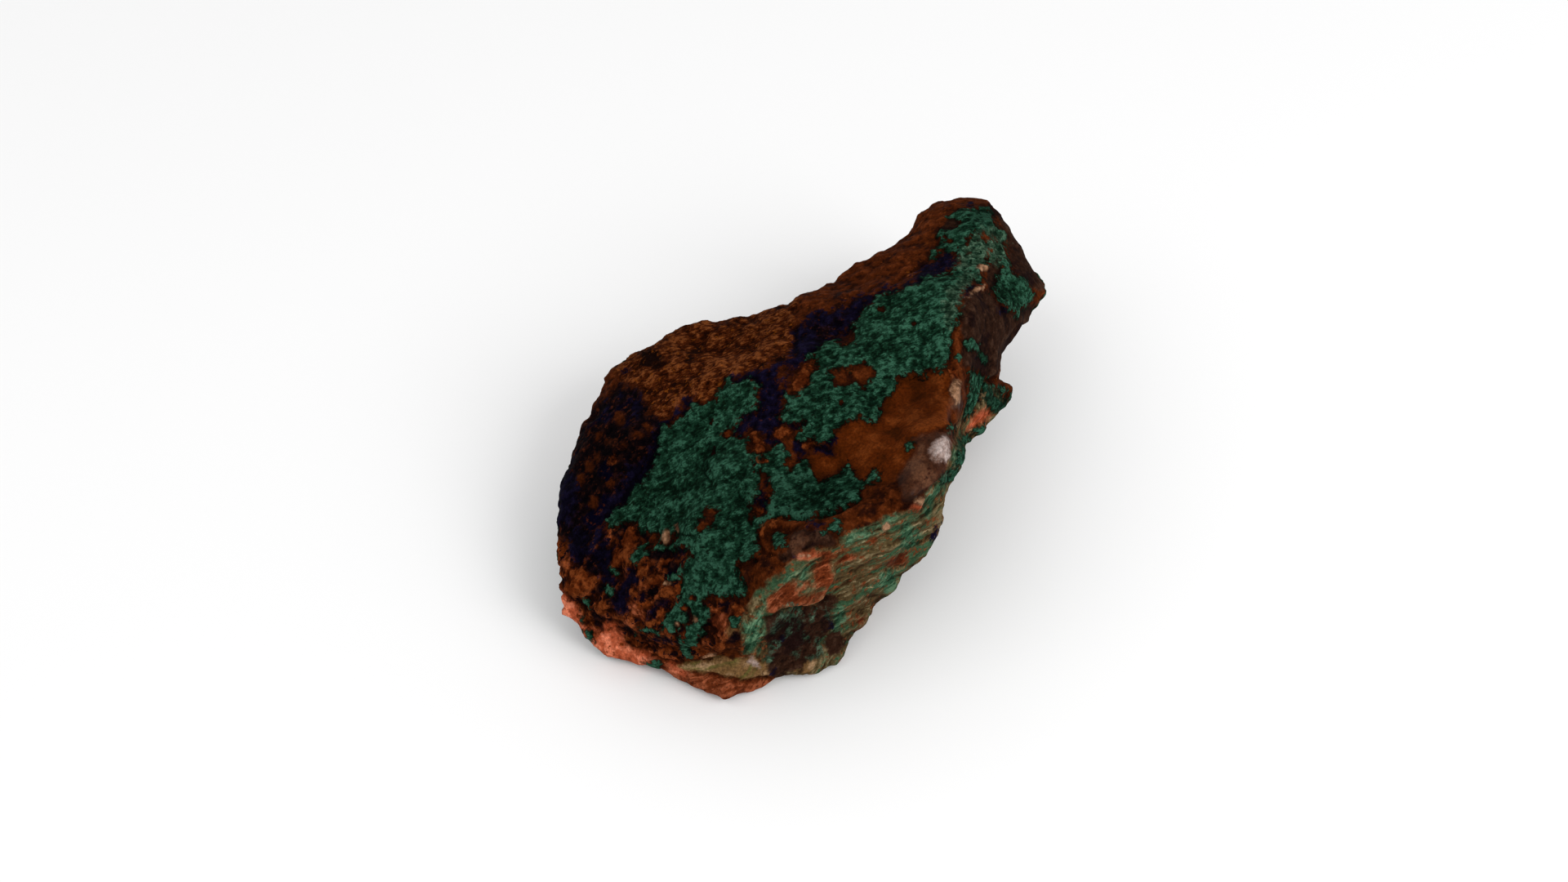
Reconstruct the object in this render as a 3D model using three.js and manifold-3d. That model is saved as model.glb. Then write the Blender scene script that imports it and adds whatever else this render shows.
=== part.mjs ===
// A loose hand specimen of azurite and malachite on iron-stained rock.
//
// The stone is one natural solid: a pear-shaped, bedded slab. Its crusted upper face runs from
// a low blunt end up to a narrow neck, and is bounded by a sharp crest along the front side and
// by a bevel along the back. Below the crest is a layered side wall. A low bed sticks out as a
// foot under the blunt end, and a small tab of rock juts out under the neck, whose end is a
// flat broken facet.
//
// Frame: millimetres, +Z up. The stone lies on the plane z = 0, on small worn flats of its
// underside. +X runs from the blunt end to the neck, +Y towards the back side. The origin is on
// the resting plane, under the middle of the bounding box.

import * as THREE from 'three';
import { ConvexHull } from 'three/addons/math/ConvexHull.js';
import { ImprovedNoise } from 'three/addons/math/ImprovedNoise.js';
import { mergeVertices } from 'three/addons/utils/BufferGeometryUtils.js';
import Module from 'manifold-3d';

// ---- driving dimensions, in mm ----------------------------------------------------------

const CELL = 1.85; // spacing of the grid that the surface is drawn from, which sets the facets
const MARGIN = 8; // room left around the stone in that grid
const BLEND = 4; // how softly the large chunks of the stone run into each other
const WEAR = 0.35; // how far each point of the grid takes after its neighbours, which wears edges
const FILLING = 0.2; // how deep below the surface a filled point of the grid lies
const EVENING = 0.5; // how far each vertex moves to the middle of its neighbours

// The lumps and hollows that cover the whole surface: how wide and how high they are.
const SWELLS = { size: 21, height: 1.1, seed: 11 };
const LUMPS = { size: 7.5, height: 1.2, seed: 37 };
const CRUST = { size: 4, height: 0.9, seed: 71 };

// The beds of the rock: parallel layers that end in ledges along the sides. `bend` is how much
// of its thickness a bed wanders by, and `step` how much of it goes over to the next ledge.
const BEDS = { normal: [-0.42, 0.15, 0.9], thickness: 4.2, ledge: 1.6, bend: 0.35, step: 0.35 };

// Bed n stands out as far as the noise says at point n of this row of points.
const BED_ROW = { start: [0, 0, 0.5], stride: [7.3, 3.1, 0], size: 1.7, seed: 5 };

// Each chunk is a broken block with flat faces, given by its corners.
const CHUNKS = {
  body: [
    // crest along the front side, from the blunt end
    [-42, -17, 11.5], [-41, -20, 16], [-36.5, -21, 21.5], [-29, -21.5, 25.5], [-22, -24.5, 27.3],
    [-16, -28, 27.5], [-9, -29, 26.5], [-2.5, -25, 28.5], [6, -18.5, 29.3],
    // inner edge of the bevel along the back side
    [-43, 1, 14.5], [-37, 10, 16], [-30, 15, 18], [-20, 15, 21], [-9, 10, 24], [1, 8, 25.3],
    // rim of the back side, from the blunt end
    [-47.5, 12, 9.5], [-41.8, 16.8, 11], [-37.5, 20.8, 12], [-30, 25.5, 13.5], [-23, 28, 14.5],
    [-16, 31.5, 16], [-12.5, 31, 16.9], [-2, 27.8, 18.6],
    [2.5, 20.5, 19.5], [9, 17, 20],
    // rim of the blunt end
    [-48, 3, 8.5], [-46, -2.5, 8.5], [-44, -11.5, 9],
    // lower edge of the side wall
    [-29, -25.2, 0.3], [-26, -25.3, 1.5], [-21.5, -23.5, 4], [-15.5, -22.3, 6], [-11, -25, 8],
    [-6.5, -26, 10], [-3, -26, 13], [2.5, -22.7, 14.5],
    // underside
    [-42, 8, 4], [-36, 17, 4.5], [-24, 24, 4], [-10, 26, 6], [4, 17, 8], [-40, -14, 1.2],
    [-34, 8, 1.5], [-20, 18, 2], [-2, 15, 2.5], [12, 4, 2], [-30, -18, 1], [-10, -21, 2],
    [6, -12, 3], [14, -4, 3],
  ],
  neck: [
    // crest, then the back edge of the crusted face
    [6, -18.5, 29.3], [17, -12, 30], [29, -5.5, 28.8], [35, -1, 27.8],
    [1, 8, 25.3], [13, 7, 25.8], [25, 5.5, 26.8], [36, 5, 27.3],
    // rim of the back side
    [3, 18, 19.5], [12, 16.5, 21], [21.5, 14.8, 21], [31, 11.8, 20], [38, 14.5, 21],
    // the end, round to the flat broken facet
    [44, 15, 22.3], [48, 10.5, 23.3], [48.5, 6.3, 24.3], [44.5, -1.5, 21.5], [43.2, -8, 17.8],
    [36, -7.3, 14], [31.5, -6.5, 11.8],
    // lower edge of the front side
    [2, -21.5, 13], [10, -18, 13], [17, -13.5, 13], [23, -10, 13],
    // underside
    [46, 9, 15], [40, 3, 10.5], [39, 11, 14], [30, 9, 7.5], [18, 10, 3], [22, 0, 4],
    [12, -10, 3], [4, 10, 1.5],
    // root, inside the body
    [-14, 10, 20], [-14, -22, 24], [-12, 0, 3],
  ],
};

// Small chunks with sharper joins.
const SPURS = {
  tab: [
    [26.5, -10, 10.8], [30, -14.6, 9.6], [27.3, -15, 6.6], [21, -14.6, 5],
    [14, -16, 7], [13, -14, 11], [22, -8, 9.5], [20, -8, 3.5], [25, -9, 5.5],
  ],
  foot: [
    [-48, 10, 6], [-50, 4, 4.5], [-47.2, -2, 3.2], [-44, -6.5, 2.2], [-41.8, -12, 1.6],
    [-47.5, 9, 2.5], [-49, 3, 1.5], [-40, 6, 7], [-38, 4, 0.5], [-32, 0, 0], [-32, -12, 0],
    [-40, -10, 6],
  ],
  toe: [
    [-42, -13, 1.6], [-43.2, -19.7, 0.4], [-35.4, -22.3, 0], [-34.3, -20, 3.4], [-41, -17, 4],
    [-36, -16, 8], [-38, -8, 5], [-34, -10, 0],
  ],
};
const SPUR_BLEND = 1.5;

// Ridges and furrows that follow a path over the surface: a positive height stands out.
const MARKS = {
  crestLip: {
    path: [[-37, -21, 22], [-29, -22, 26], [-22, -25, 28], [-10, -29, 28], [6, -19, 30]],
    width: 2.8,
    height: 1.1,
  },
  neckLip: { path: [[17, -13, 30], [29, -6, 29], [40, 3, 26]], width: 2.5, height: 0.6 },
  smoothHollow: { path: [[-16, -13, 27], [-6, -16, 28], [4, -13, 29]], width: 6, height: -2.2 },
  furrowByCrest: { path: [[-32, -13, 25], [-24, -18, 26], [-15, -22, 28]], width: 3.2, height: -1.3 },
  lumpsByCrest: { path: [[-31, -18, 25], [-24, -22, 27.5]], width: 2.4, height: 1.2 },
  quartzKnob: { path: [[-5, -26, 28.5], [-3, -24, 29]], width: 3, height: 1.2 },
  bevelEdge: { path: [[-24, 15, 20], [-9, 10, 24], [1, 8, 25.5], [25, 5, 27]], width: 2.4, height: 0.7 },
  azuriteHollow: { path: [[-40, 4, 14], [-30, 8, 18], [-18, 4, 23]], width: 5, height: -1.2 },
  crustSwell: { path: [[-36, -10, 19], [-24, -6, 23], [-12, 1, 25]], width: 6, height: 1.2 },
  neckSwell: { path: [[6, -7, 29], [22, -3, 29]], width: 6, height: 0.8 },
  undercut: {
    path: [[-47, 3, 8], [-46, -3, 7], [-44.5, -11, 6.5], [-41.5, -19, 8]],
    width: 1.8,
    height: -1.5,
  },
  backLedge: { path: [[-38, 22, 9], [-22, 29, 11], [-5, 28, 13]], width: 2.2, height: 1.4 },
  backFurrow: { path: [[-34, 23, 5], [-14, 29, 7], [4, 20, 11]], width: 2.6, height: -1.6 },
  backScar: { path: [[-8, 29.5, 18], [-6, 29.5, 19]], width: 2, height: -1.4 },
  wallBand: {
    path: [[-40, -19.5, 12], [-31, -23.5, 19], [-20, -27, 22], [-8, -29, 22]],
    width: 2.4,
    height: 1.2,
  },
  wallFurrow: { path: [[-31, -24.5, 14], [-18, -27, 16], [-5, -27.5, 18]], width: 2.4, height: -1.5 },
  wallRecess: { path: [[-32, -23.5, 8], [-26, -26, 9]], width: 4.5, height: -1.6 },
  wallBulge: { path: [[-14, -26.5, 10], [-6, -28, 13]], width: 3, height: 0.9 },
  neckFacet: { path: [[26, -13, 18], [33, -10, 16]], width: 4, height: -2.6 },
  neckWaist: { path: [[29, 14, 20], [33, 14, 20.5]], width: 4.5, height: -1.6 },
  notchUnderNeck: { path: [[34, -9, 11], [27, -12, 12]], width: 2, height: -2 },
};

// The lumps of the underside that the stone lies on, worn flat at z = 0.
const RESTS = [[-36, -11], [-27, 14], [-14, -18], [11, 3], [-6, 19], [-18, -3]];
const REST = { low: -2, width: 6.5, height: 2.8 };
const GROUND = 300; // size of the block below z = 0 that takes away what would reach below it

// ---- the solid as a field: negative inside, in mm from the surface ------------------------

const noise = new ImprovedNoise();

// Smooth noise from about -1 to 1, with bumps `size` mm across.
function waves([x, y, z], size, seed) {
  return noise.noise(x / size + seed, y / size - seed, z / size + 2 * seed);
}

// The smaller of two distances, rounded over where they are within `soft` of each other by the
// usual quadratic blend, which is `soft` / 4 deep where they are equal.
function joined(a, b, soft) {
  const h = Math.max(soft - Math.abs(a - b), 0) / soft;
  return Math.min(a, b) - (h * h * soft) / 4;
}

// The flat faces of a chunk, as planes.
function facesOf(corners) {
  const points = corners.map((corner) => new THREE.Vector3(...corner));
  return new ConvexHull().setFromPoints(points).faces;
}

const chunkFaces = Object.values(CHUNKS).map(facesOf);
const spurFaces = Object.values(SPURS).map(facesOf);

// Distance to the plain broken block, before wear and relief.
function blockDistance(point) {
  const distanceTo = (faces) => Math.max(...faces.map((face) => face.distanceToPoint(point)));
  const chunks = chunkFaces.map(distanceTo).reduce((a, b) => joined(a, b, BLEND));
  return spurFaces.map(distanceTo).reduce((a, b) => joined(a, b, SPUR_BLEND), chunks);
}

// How far bed n stands out past the plain block.
function reachOf(n) {
  const spot = BED_ROW.start.map((value, axis) => value + n * BED_ROW.stride[axis]);
  return BEDS.ledge * waves(spot, BED_ROW.size, BED_ROW.seed);
}

// How far the bed at a point stands out, going over to the next bed at its top.
const bedNormal = new THREE.Vector3(...BEDS.normal).normalize();
function ledge(p) {
  const depth = new THREE.Vector3(...p).dot(bedNormal);
  const bent = depth / BEDS.thickness + BEDS.bend * waves(p, SWELLS.size, BED_ROW.seed);
  const layer = Math.floor(bent);
  const passed = THREE.MathUtils.smoothstep(bent - layer, 1 - BEDS.step, 1);
  return THREE.MathUtils.lerp(reachOf(layer), reachOf(layer + 1), passed);
}

// A rounded ridge or furrow: full height on its path, gone at about two widths from it.
const nearest = new THREE.Vector3();
function mark(point, { segments, width, height }) {
  const distances = segments.map((segment) => {
    segment.closestPointToPoint(point, true, nearest);
    return nearest.distanceTo(point);
  });
  return height * Math.exp(-((Math.min(...distances) / width) ** 2));
}

function asMark({ path, width, height }) {
  const points = path.map((corner) => new THREE.Vector3(...corner));
  const segments = points.slice(1).map((end, n) => new THREE.Line3(points[n], end));
  return { segments, width, height };
}

const restMarks = RESTS.map(([x, y]) => ({ path: [[x, y, REST.low], [x + 1, y, REST.low]], ...REST }));
const marks = [...Object.values(MARKS), ...restMarks].map(asMark);

// How far the surface stands out past the plain block, at a point.
function relief(p) {
  const point = new THREE.Vector3(...p);
  const marked = marks.reduce((sum, one) => sum + mark(point, one), 0);
  return (
    SWELLS.height * waves(p, SWELLS.size, SWELLS.seed) +
    LUMPS.height * waves(p, LUMPS.size, LUMPS.seed) +
    CRUST.height * waves(p, CRUST.size, CRUST.seed) +
    ledge(p) +
    marked
  );
}

// ---- the field on a grid, and the surface through it ----------------------------------------

function gridAround(corners) {
  const box = new THREE.Box3().setFromPoints(corners.map((c) => new THREE.Vector3(...c)));
  box.expandByScalar(MARGIN);
  const size = box.getSize(new THREE.Vector3());
  const counts = [size.x, size.y, size.z].map((length) => Math.ceil(length / CELL) + 1);
  const origin = box.min.toArray();
  const strides = [1, counts[0], counts[0] * counts[1]];
  const at = (i, j, k) => i + j * strides[1] + k * strides[2];
  const place = (i, j, k) => [i, j, k].map((n, axis) => origin[axis] + n * CELL);
  return { counts, strides, at, place, total: counts[0] * counts[1] * counts[2] };
}

// Calls visit(i, j, k) for each grid point that is `skip` or more steps from the grid's end.
function eachPoint({ counts }, skip, visit) {
  for (let k = skip; k < counts[2] - skip; k++)
    for (let j = skip; j < counts[1] - skip; j++)
      for (let i = skip; i < counts[0] - skip; i++) visit(i, j, k);
}

// Smooths the field along each axis in turn, which wears sharp edges and corners.
function worn(values, grid) {
  let result = values;
  for (const stride of grid.strides) {
    const smoothed = Float64Array.from(result);
    eachPoint(grid, 1, (i, j, k) => {
      const n = grid.at(i, j, k);
      const beside = (result[n - stride] + result[n + stride]) / 2;
      smoothed[n] = THREE.MathUtils.lerp(result[n], beside, WEAR);
    });
    result = smoothed;
  }
  return result;
}

// Fills each place where the surface would touch itself along an edge of the grid: a grid
// square that is inside at two opposite corners and outside at the other two.
function filled(values, grid) {
  const sides = grid.strides.map((stride, axis) => [stride, grid.strides[(axis + 1) % 3]]);
  let found = true;
  while (found) {
    found = false;
    eachPoint(grid, 1, (i, j, k) => {
      const here = grid.at(i, j, k);
      for (const [u, v] of sides) {
        const square = [here, here + u, here + u + v, here + v];
        const inside = square.map((n) => values[n] < 0);
        if (inside[0] !== inside[2] || inside[1] !== inside[3] || inside[0] === inside[1]) continue;
        const [a, b] = inside[0] ? [square[1], square[3]] : [square[0], square[2]];
        values[values[a] < values[b] ? a : b] = -FILLING;
        found = true;
      }
    });
  }
  return values;
}

function sampledField(grid) {
  let values = new Float64Array(grid.total);
  eachPoint(grid, 0, (i, j, k) => {
    values[grid.at(i, j, k)] = blockDistance(new THREE.Vector3(...grid.place(i, j, k)));
  });
  values = worn(values, grid);
  eachPoint(grid, 0, (i, j, k) => {
    values[grid.at(i, j, k)] -= relief(grid.place(i, j, k));
  });
  return filled(values, grid);
}

const CUBE_CORNERS = [0, 1, 2, 3, 4, 5, 6, 7].map((n) => [n & 1, (n >> 1) & 1, n >> 2]);
const CUBE_EDGES = CUBE_CORNERS.flatMap((_, a) =>
  [1, 2, 4].filter((bit) => !(a & bit)).map((bit) => [a, a | bit]),
);

// One vertex for each grid cell that the surface crosses, at the middle of its crossings.
function verticesOn(values, grid) {
  const vertices = [];
  const vertexOf = new Map();
  eachPoint(grid, 1, (i, j, k) => {
    const corners = CUBE_CORNERS.map(([x, y, z]) => values[grid.at(i + x, j + y, k + z)]);
    const crossed = CUBE_EDGES.filter(([a, b]) => corners[a] < 0 !== corners[b] < 0);
    if (!crossed.length) return;
    const sum = new THREE.Vector3();
    for (const [a, b] of crossed) {
      const t = corners[a] / (corners[a] - corners[b]);
      const from = new THREE.Vector3(...CUBE_CORNERS[a]);
      sum.add(from.lerp(new THREE.Vector3(...CUBE_CORNERS[b]), t));
    }
    sum.multiplyScalar(CELL / crossed.length).add(new THREE.Vector3(...grid.place(i, j, k)));
    vertexOf.set(grid.at(i, j, k), vertices.length);
    vertices.push(sum);
  });
  return { vertices, vertexOf };
}

// One quad round each grid edge that the surface crosses, with its corners in order.
function quadsOn(values, grid, vertexOf) {
  const quads = [];
  eachPoint(grid, 2, (i, j, k) => {
    const here = grid.at(i, j, k);
    grid.strides.forEach((stride, axis) => {
      const inside = values[here] < 0;
      if (inside === values[here + stride] < 0) return;
      const u = grid.strides[(axis + 1) % 3];
      const v = grid.strides[(axis + 2) % 3];
      const ring = [here, here - u, here - u - v, here - v].map((n) => vertexOf.get(n));
      quads.push(inside ? ring : ring.reverse());
    });
  });
  return quads;
}

// Moves each vertex part of the way to the middle of its neighbours.
function evened(vertices, quads) {
  const sums = vertices.map(() => new THREE.Vector3());
  const counts = vertices.map(() => 0);
  for (const ring of quads)
    ring.forEach((n, side) => {
      const next = ring[(side + 1) % 4];
      sums[n].add(vertices[next]);
      sums[next].add(vertices[n]);
      counts[n]++;
      counts[next]++;
    });
  return vertices.map((vertex, n) =>
    vertex.clone().lerp(sums[n].divideScalar(counts[n]), EVENING),
  );
}

// A closed mesh through the zero level of the field.
function surfaceThrough(values, grid) {
  const { vertices, vertexOf } = verticesOn(values, grid);
  const quads = quadsOn(values, grid, vertexOf);
  const placed = evened(vertices, quads);
  const triangles = quads.flatMap(([a, b, c, d]) => {
    const shorterFirst = placed[a].distanceTo(placed[c]) < placed[b].distanceTo(placed[d]);
    return shorterFirst ? [a, b, c, a, c, d] : [b, c, d, b, d, a];
  });
  const geometry = new THREE.BufferGeometry().setFromPoints(placed);
  geometry.setIndex(triangles);
  return geometry;
}

// ---- the flats that the stone rests on ------------------------------------------------------

const wasm = await Module();
wasm.setup();

function solidOf(geometry) {
  const bare = geometry.clone();
  bare.deleteAttribute('normal');
  bare.deleteAttribute('uv');
  const merged = mergeVertices(bare);
  return new wasm.Manifold(
    new wasm.Mesh({
      numProp: 3,
      vertProperties: merged.attributes.position.array,
      triVerts: new Uint32Array(merged.index.array),
    }),
  );
}

function geometryOf(solid) {
  const mesh = solid.getMesh();
  const geometry = new THREE.BufferGeometry();
  geometry.setAttribute('position', new THREE.BufferAttribute(mesh.vertProperties, 3));
  geometry.setIndex(new THREE.BufferAttribute(mesh.triVerts, 1));
  geometry.computeVertexNormals();
  return geometry;
}

function wornFlatBelow(solid) {
  const ground = new THREE.BoxGeometry(GROUND, GROUND, GROUND).translate(0, 0, -GROUND / 2);
  return solid.subtract(solidOf(ground));
}

// ---- the specimen -----------------------------------------------------------------------------

function makeStone() {
  const grid = gridAround(Object.values({ ...CHUNKS, ...SPURS }).flat());
  const rough = surfaceThrough(sampledField(grid), grid);
  const stone = new THREE.Mesh(
    geometryOf(wornFlatBelow(solidOf(rough))),
    new THREE.MeshStandardMaterial({ color: 0x2c5543, roughness: 0.85, metalness: 0 }),
  );
  stone.name = 'stone';
  stone.geometry.computeBoundingBox();
  const middle = stone.geometry.boundingBox.getCenter(new THREE.Vector3());
  stone.position.set(-middle.x, -middle.y, 0);
  return stone;
}

const specimen = new THREE.Group();
specimen.name = 'azurite_malachite_specimen';
specimen.add(makeStone());

export default specimen;
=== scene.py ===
"""A loose hand specimen of azurite and malachite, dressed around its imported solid.

The stone is one piece. Its fine mesh starts as a copy of the solid, is evened out, gets the
lumps, folds and cracks that its solid is too coarse for, and carries one field for each mineral:
how many millimetres a place lies inside that mineral's patches. The relief of the crusts and the
colours of the surface are both worked out from these fields.

Patches, lumps and cracks of the side that the stone is shown from are drawn as they look from
there, in millimetres right of and above the middle of the view. The hidden sides get patches of
the same minerals in the same sizes, grown from noise.
"""

import logging
import math
from dataclasses import dataclass
from enum import Enum

import bmesh
import bpy
import numpy as np
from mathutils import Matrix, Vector, noise


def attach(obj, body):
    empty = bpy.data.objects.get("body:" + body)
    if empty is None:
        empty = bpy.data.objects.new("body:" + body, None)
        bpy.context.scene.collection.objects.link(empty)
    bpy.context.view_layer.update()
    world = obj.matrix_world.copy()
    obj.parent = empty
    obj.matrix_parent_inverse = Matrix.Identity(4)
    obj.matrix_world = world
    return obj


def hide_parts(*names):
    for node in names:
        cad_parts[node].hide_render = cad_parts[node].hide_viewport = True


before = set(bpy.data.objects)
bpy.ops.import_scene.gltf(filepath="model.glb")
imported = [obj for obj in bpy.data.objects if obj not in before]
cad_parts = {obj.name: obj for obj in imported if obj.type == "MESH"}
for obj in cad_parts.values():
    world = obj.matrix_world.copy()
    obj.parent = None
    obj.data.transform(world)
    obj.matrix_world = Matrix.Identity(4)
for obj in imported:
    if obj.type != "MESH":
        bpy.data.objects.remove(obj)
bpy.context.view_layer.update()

LOG = logging.getLogger("specimen")
MM = 0.001
# Nothing is divided by less than this.
NEARLY_NOTHING = 1e-9
# The middle of the values that a pattern runs through.
MIDDLE = 0.5

Array = np.ndarray
Place = tuple[float, float, float]
Colour = tuple[float, float, float, float]
Outline = tuple[tuple[float, float], ...]
Socket = bpy.types.NodeSocket


# ---- how the stone is looked at -----------------------------------------------------------


@dataclass(frozen=True)
class Viewpoint:
    """Where the stone is shown from. Angles are in degrees, lengths in metres."""

    target: Place = (-7.15 * MM, 0.63 * MM, 14.0 * MM)
    azimuth: float = -48.0
    elevation: float = 45.0
    distance: float = 0.325
    lens_mm: float = 50.0
    sensor_mm: float = 36.0

    def axes(self) -> tuple[Array, Array, Array]:
        """Works out which way the view is turned.

        Returns:
            The directions to the right, up and back towards the eye.
        """
        turn, lift = math.radians(self.azimuth), math.radians(self.elevation)
        right = np.array([math.cos(turn), math.sin(turn), 0.0])
        back = np.array(
            [math.sin(turn) * math.cos(lift), -math.cos(turn) * math.cos(lift), math.sin(lift)]
        )
        return right, np.cross(back, right), back

    def seen(self, points: Array) -> Array:
        """Works out where places on the stone are seen.

        Args:
            points: Places in metres, one a row.

        Returns:
            Millimetres right of and above the middle of the view, at the target's depth.
        """
        right, up, back = self.axes()
        offset = points - np.array(self.target)
        nearness = self.distance / (self.distance - offset @ back)
        return np.column_stack([offset @ right, offset @ up]) * nearness[:, None] / MM

    def facing(self, points: Array, normals: Array) -> Array:
        """Works out how squarely each place faces the eye.

        Args:
            points: Places in metres, one a row.
            normals: The surface's unit normals there.

        Returns:
            1 where the surface faces the eye, 0 where it is seen edge on, less where it faces away.
        """
        eye = np.array(self.target) + self.axes()[2] * self.distance
        towards = eye - points
        towards /= np.linalg.norm(towards, axis=1, keepdims=True)
        return np.einsum("ij,ij->i", towards, normals)

    def place_camera(self) -> None:
        """Makes the camera that looks at the target from the eye."""
        camera = bpy.data.cameras.new("show_camera")
        camera.lens = self.lens_mm
        camera.sensor_width = self.sensor_mm
        holder = bpy.data.objects.new("show_camera", camera)
        back = Vector(self.axes()[2])
        holder.location = Vector(self.target) + back * self.distance
        holder.rotation_euler = (-back).to_track_quat("-Z", "Y").to_euler()
        bpy.context.scene.collection.objects.link(holder)
        bpy.context.scene.camera = holder


# ---- what is drawn on the stone -----------------------------------------------------------


def distance_to_path(seen: Array, path: Outline) -> tuple[Array, Array]:
    """Measures seen places against an open path.

    Args:
        seen: Places in millimetres as seen, one a row.
        path: The path's corners.

    Returns:
        The distance to the path, and how far along the path its nearest place lies.
    """
    best = np.full(len(seen), np.inf)
    along_path = np.zeros(len(seen))
    travelled = 0.0
    corners = np.array(path, float)
    for start, end in zip(corners[:-1], corners[1:]):
        edge = end - start
        length = float(np.hypot(*edge))
        part = np.clip(((seen - start) @ edge) / max(length**2, NEARLY_NOTHING), 0, 1)
        gap = np.linalg.norm(seen - start - part[:, None] * edge, axis=1)
        closer = gap < best
        best = np.where(closer, gap, best)
        along_path = np.where(closer, travelled + part * length, along_path)
        travelled += length
    return best, along_path


def depth_inside(seen: Array, outline: Outline) -> Array:
    """Measures seen places against a closed outline.

    Args:
        seen: Places in millimetres as seen, one a row.
        outline: The outline's corners, in order.

    Returns:
        Millimetres inside the outline, negative outside it.
    """
    gap, _ = distance_to_path(seen, (*outline, outline[0]))
    inside = np.zeros(len(seen), bool)
    corners = np.array(outline)
    for start, end in zip(corners, np.roll(corners, -1, axis=0)):
        if start[1] == end[1]:
            continue
        crosses = (start[1] > seen[:, 1]) != (end[1] > seen[:, 1])
        slope = (end[0] - start[0]) / (end[1] - start[1])
        inside ^= crosses & (seen[:, 0] < start[0] + (seen[:, 1] - start[1]) * slope)
    return np.where(inside, gap, -gap)


class Mineral(Enum):
    """What the surface can show, in the order in which one lies over the next."""

    OCHRE = "ochre"
    GOLDEN = "golden"
    HOLLOW = "hollow"
    WALL = "wall"
    GREEN_BEDS = "green_beds"
    RED = "red"
    PINK = "pink"
    PALE = "pale"
    DARK = "dark"
    MIXED = "mixed"
    AZURITE = "azurite"
    MALACHITE = "malachite"
    WORN = "worn"
    RUST = "rust"
    QUARTZ = "quartz"
    MILKY = "milky"
    CRYSTAL = "crystal"


@dataclass(frozen=True)
class Spot:
    """A small oval patch, in millimetres as seen, with its long side turned by degrees.

    Its length and width are measured from its middle.
    """

    across: float
    above: float
    length: float
    width: float
    turned: float = 0.0

    def depth(self, seen: Array) -> Array:
        """Measures seen places against the oval.

        Args:
            seen: Places in millimetres as seen, one a row.

        Returns:
            Millimetres inside the oval, negative outside it.
        """
        angle = math.radians(self.turned)
        offset = seen - np.array([self.across, self.above])
        along = offset @ np.array([math.cos(angle), math.sin(angle)]) / self.length
        beside = offset @ np.array([-math.sin(angle), math.cos(angle)]) / self.width
        return (1 - np.hypot(along, beside)) * min(self.length, self.width)


@dataclass(frozen=True)
class LightAndTone:
    """A place painted lighter or darker than the rest, by a share at its middle: partly painted light and
    shade, partly the stone's own colour.
    """

    place: Spot
    share: float

    def strength(self, seen: Array) -> Array:
        """Returns what the colours at seen places are multiplied by."""
        inside = self.place.depth(seen) / min(self.place.length, self.place.width)
        return 1 + self.share * np.exp(-(np.maximum(1 - inside, 0) ** 2))


@dataclass(frozen=True)
class Mark:
    """A lump, ridge or crack along a path, in millimetres as seen. A crack's height is negative."""

    path: Outline
    width: float
    height: float

    def nearness(self, seen: Array) -> Array:
        """Returns 1 for seen places on the path, fading to nothing a few widths beside it."""
        gap, _ = distance_to_path(seen, self.path)
        return np.exp(-((gap / self.width) ** 2))


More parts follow.
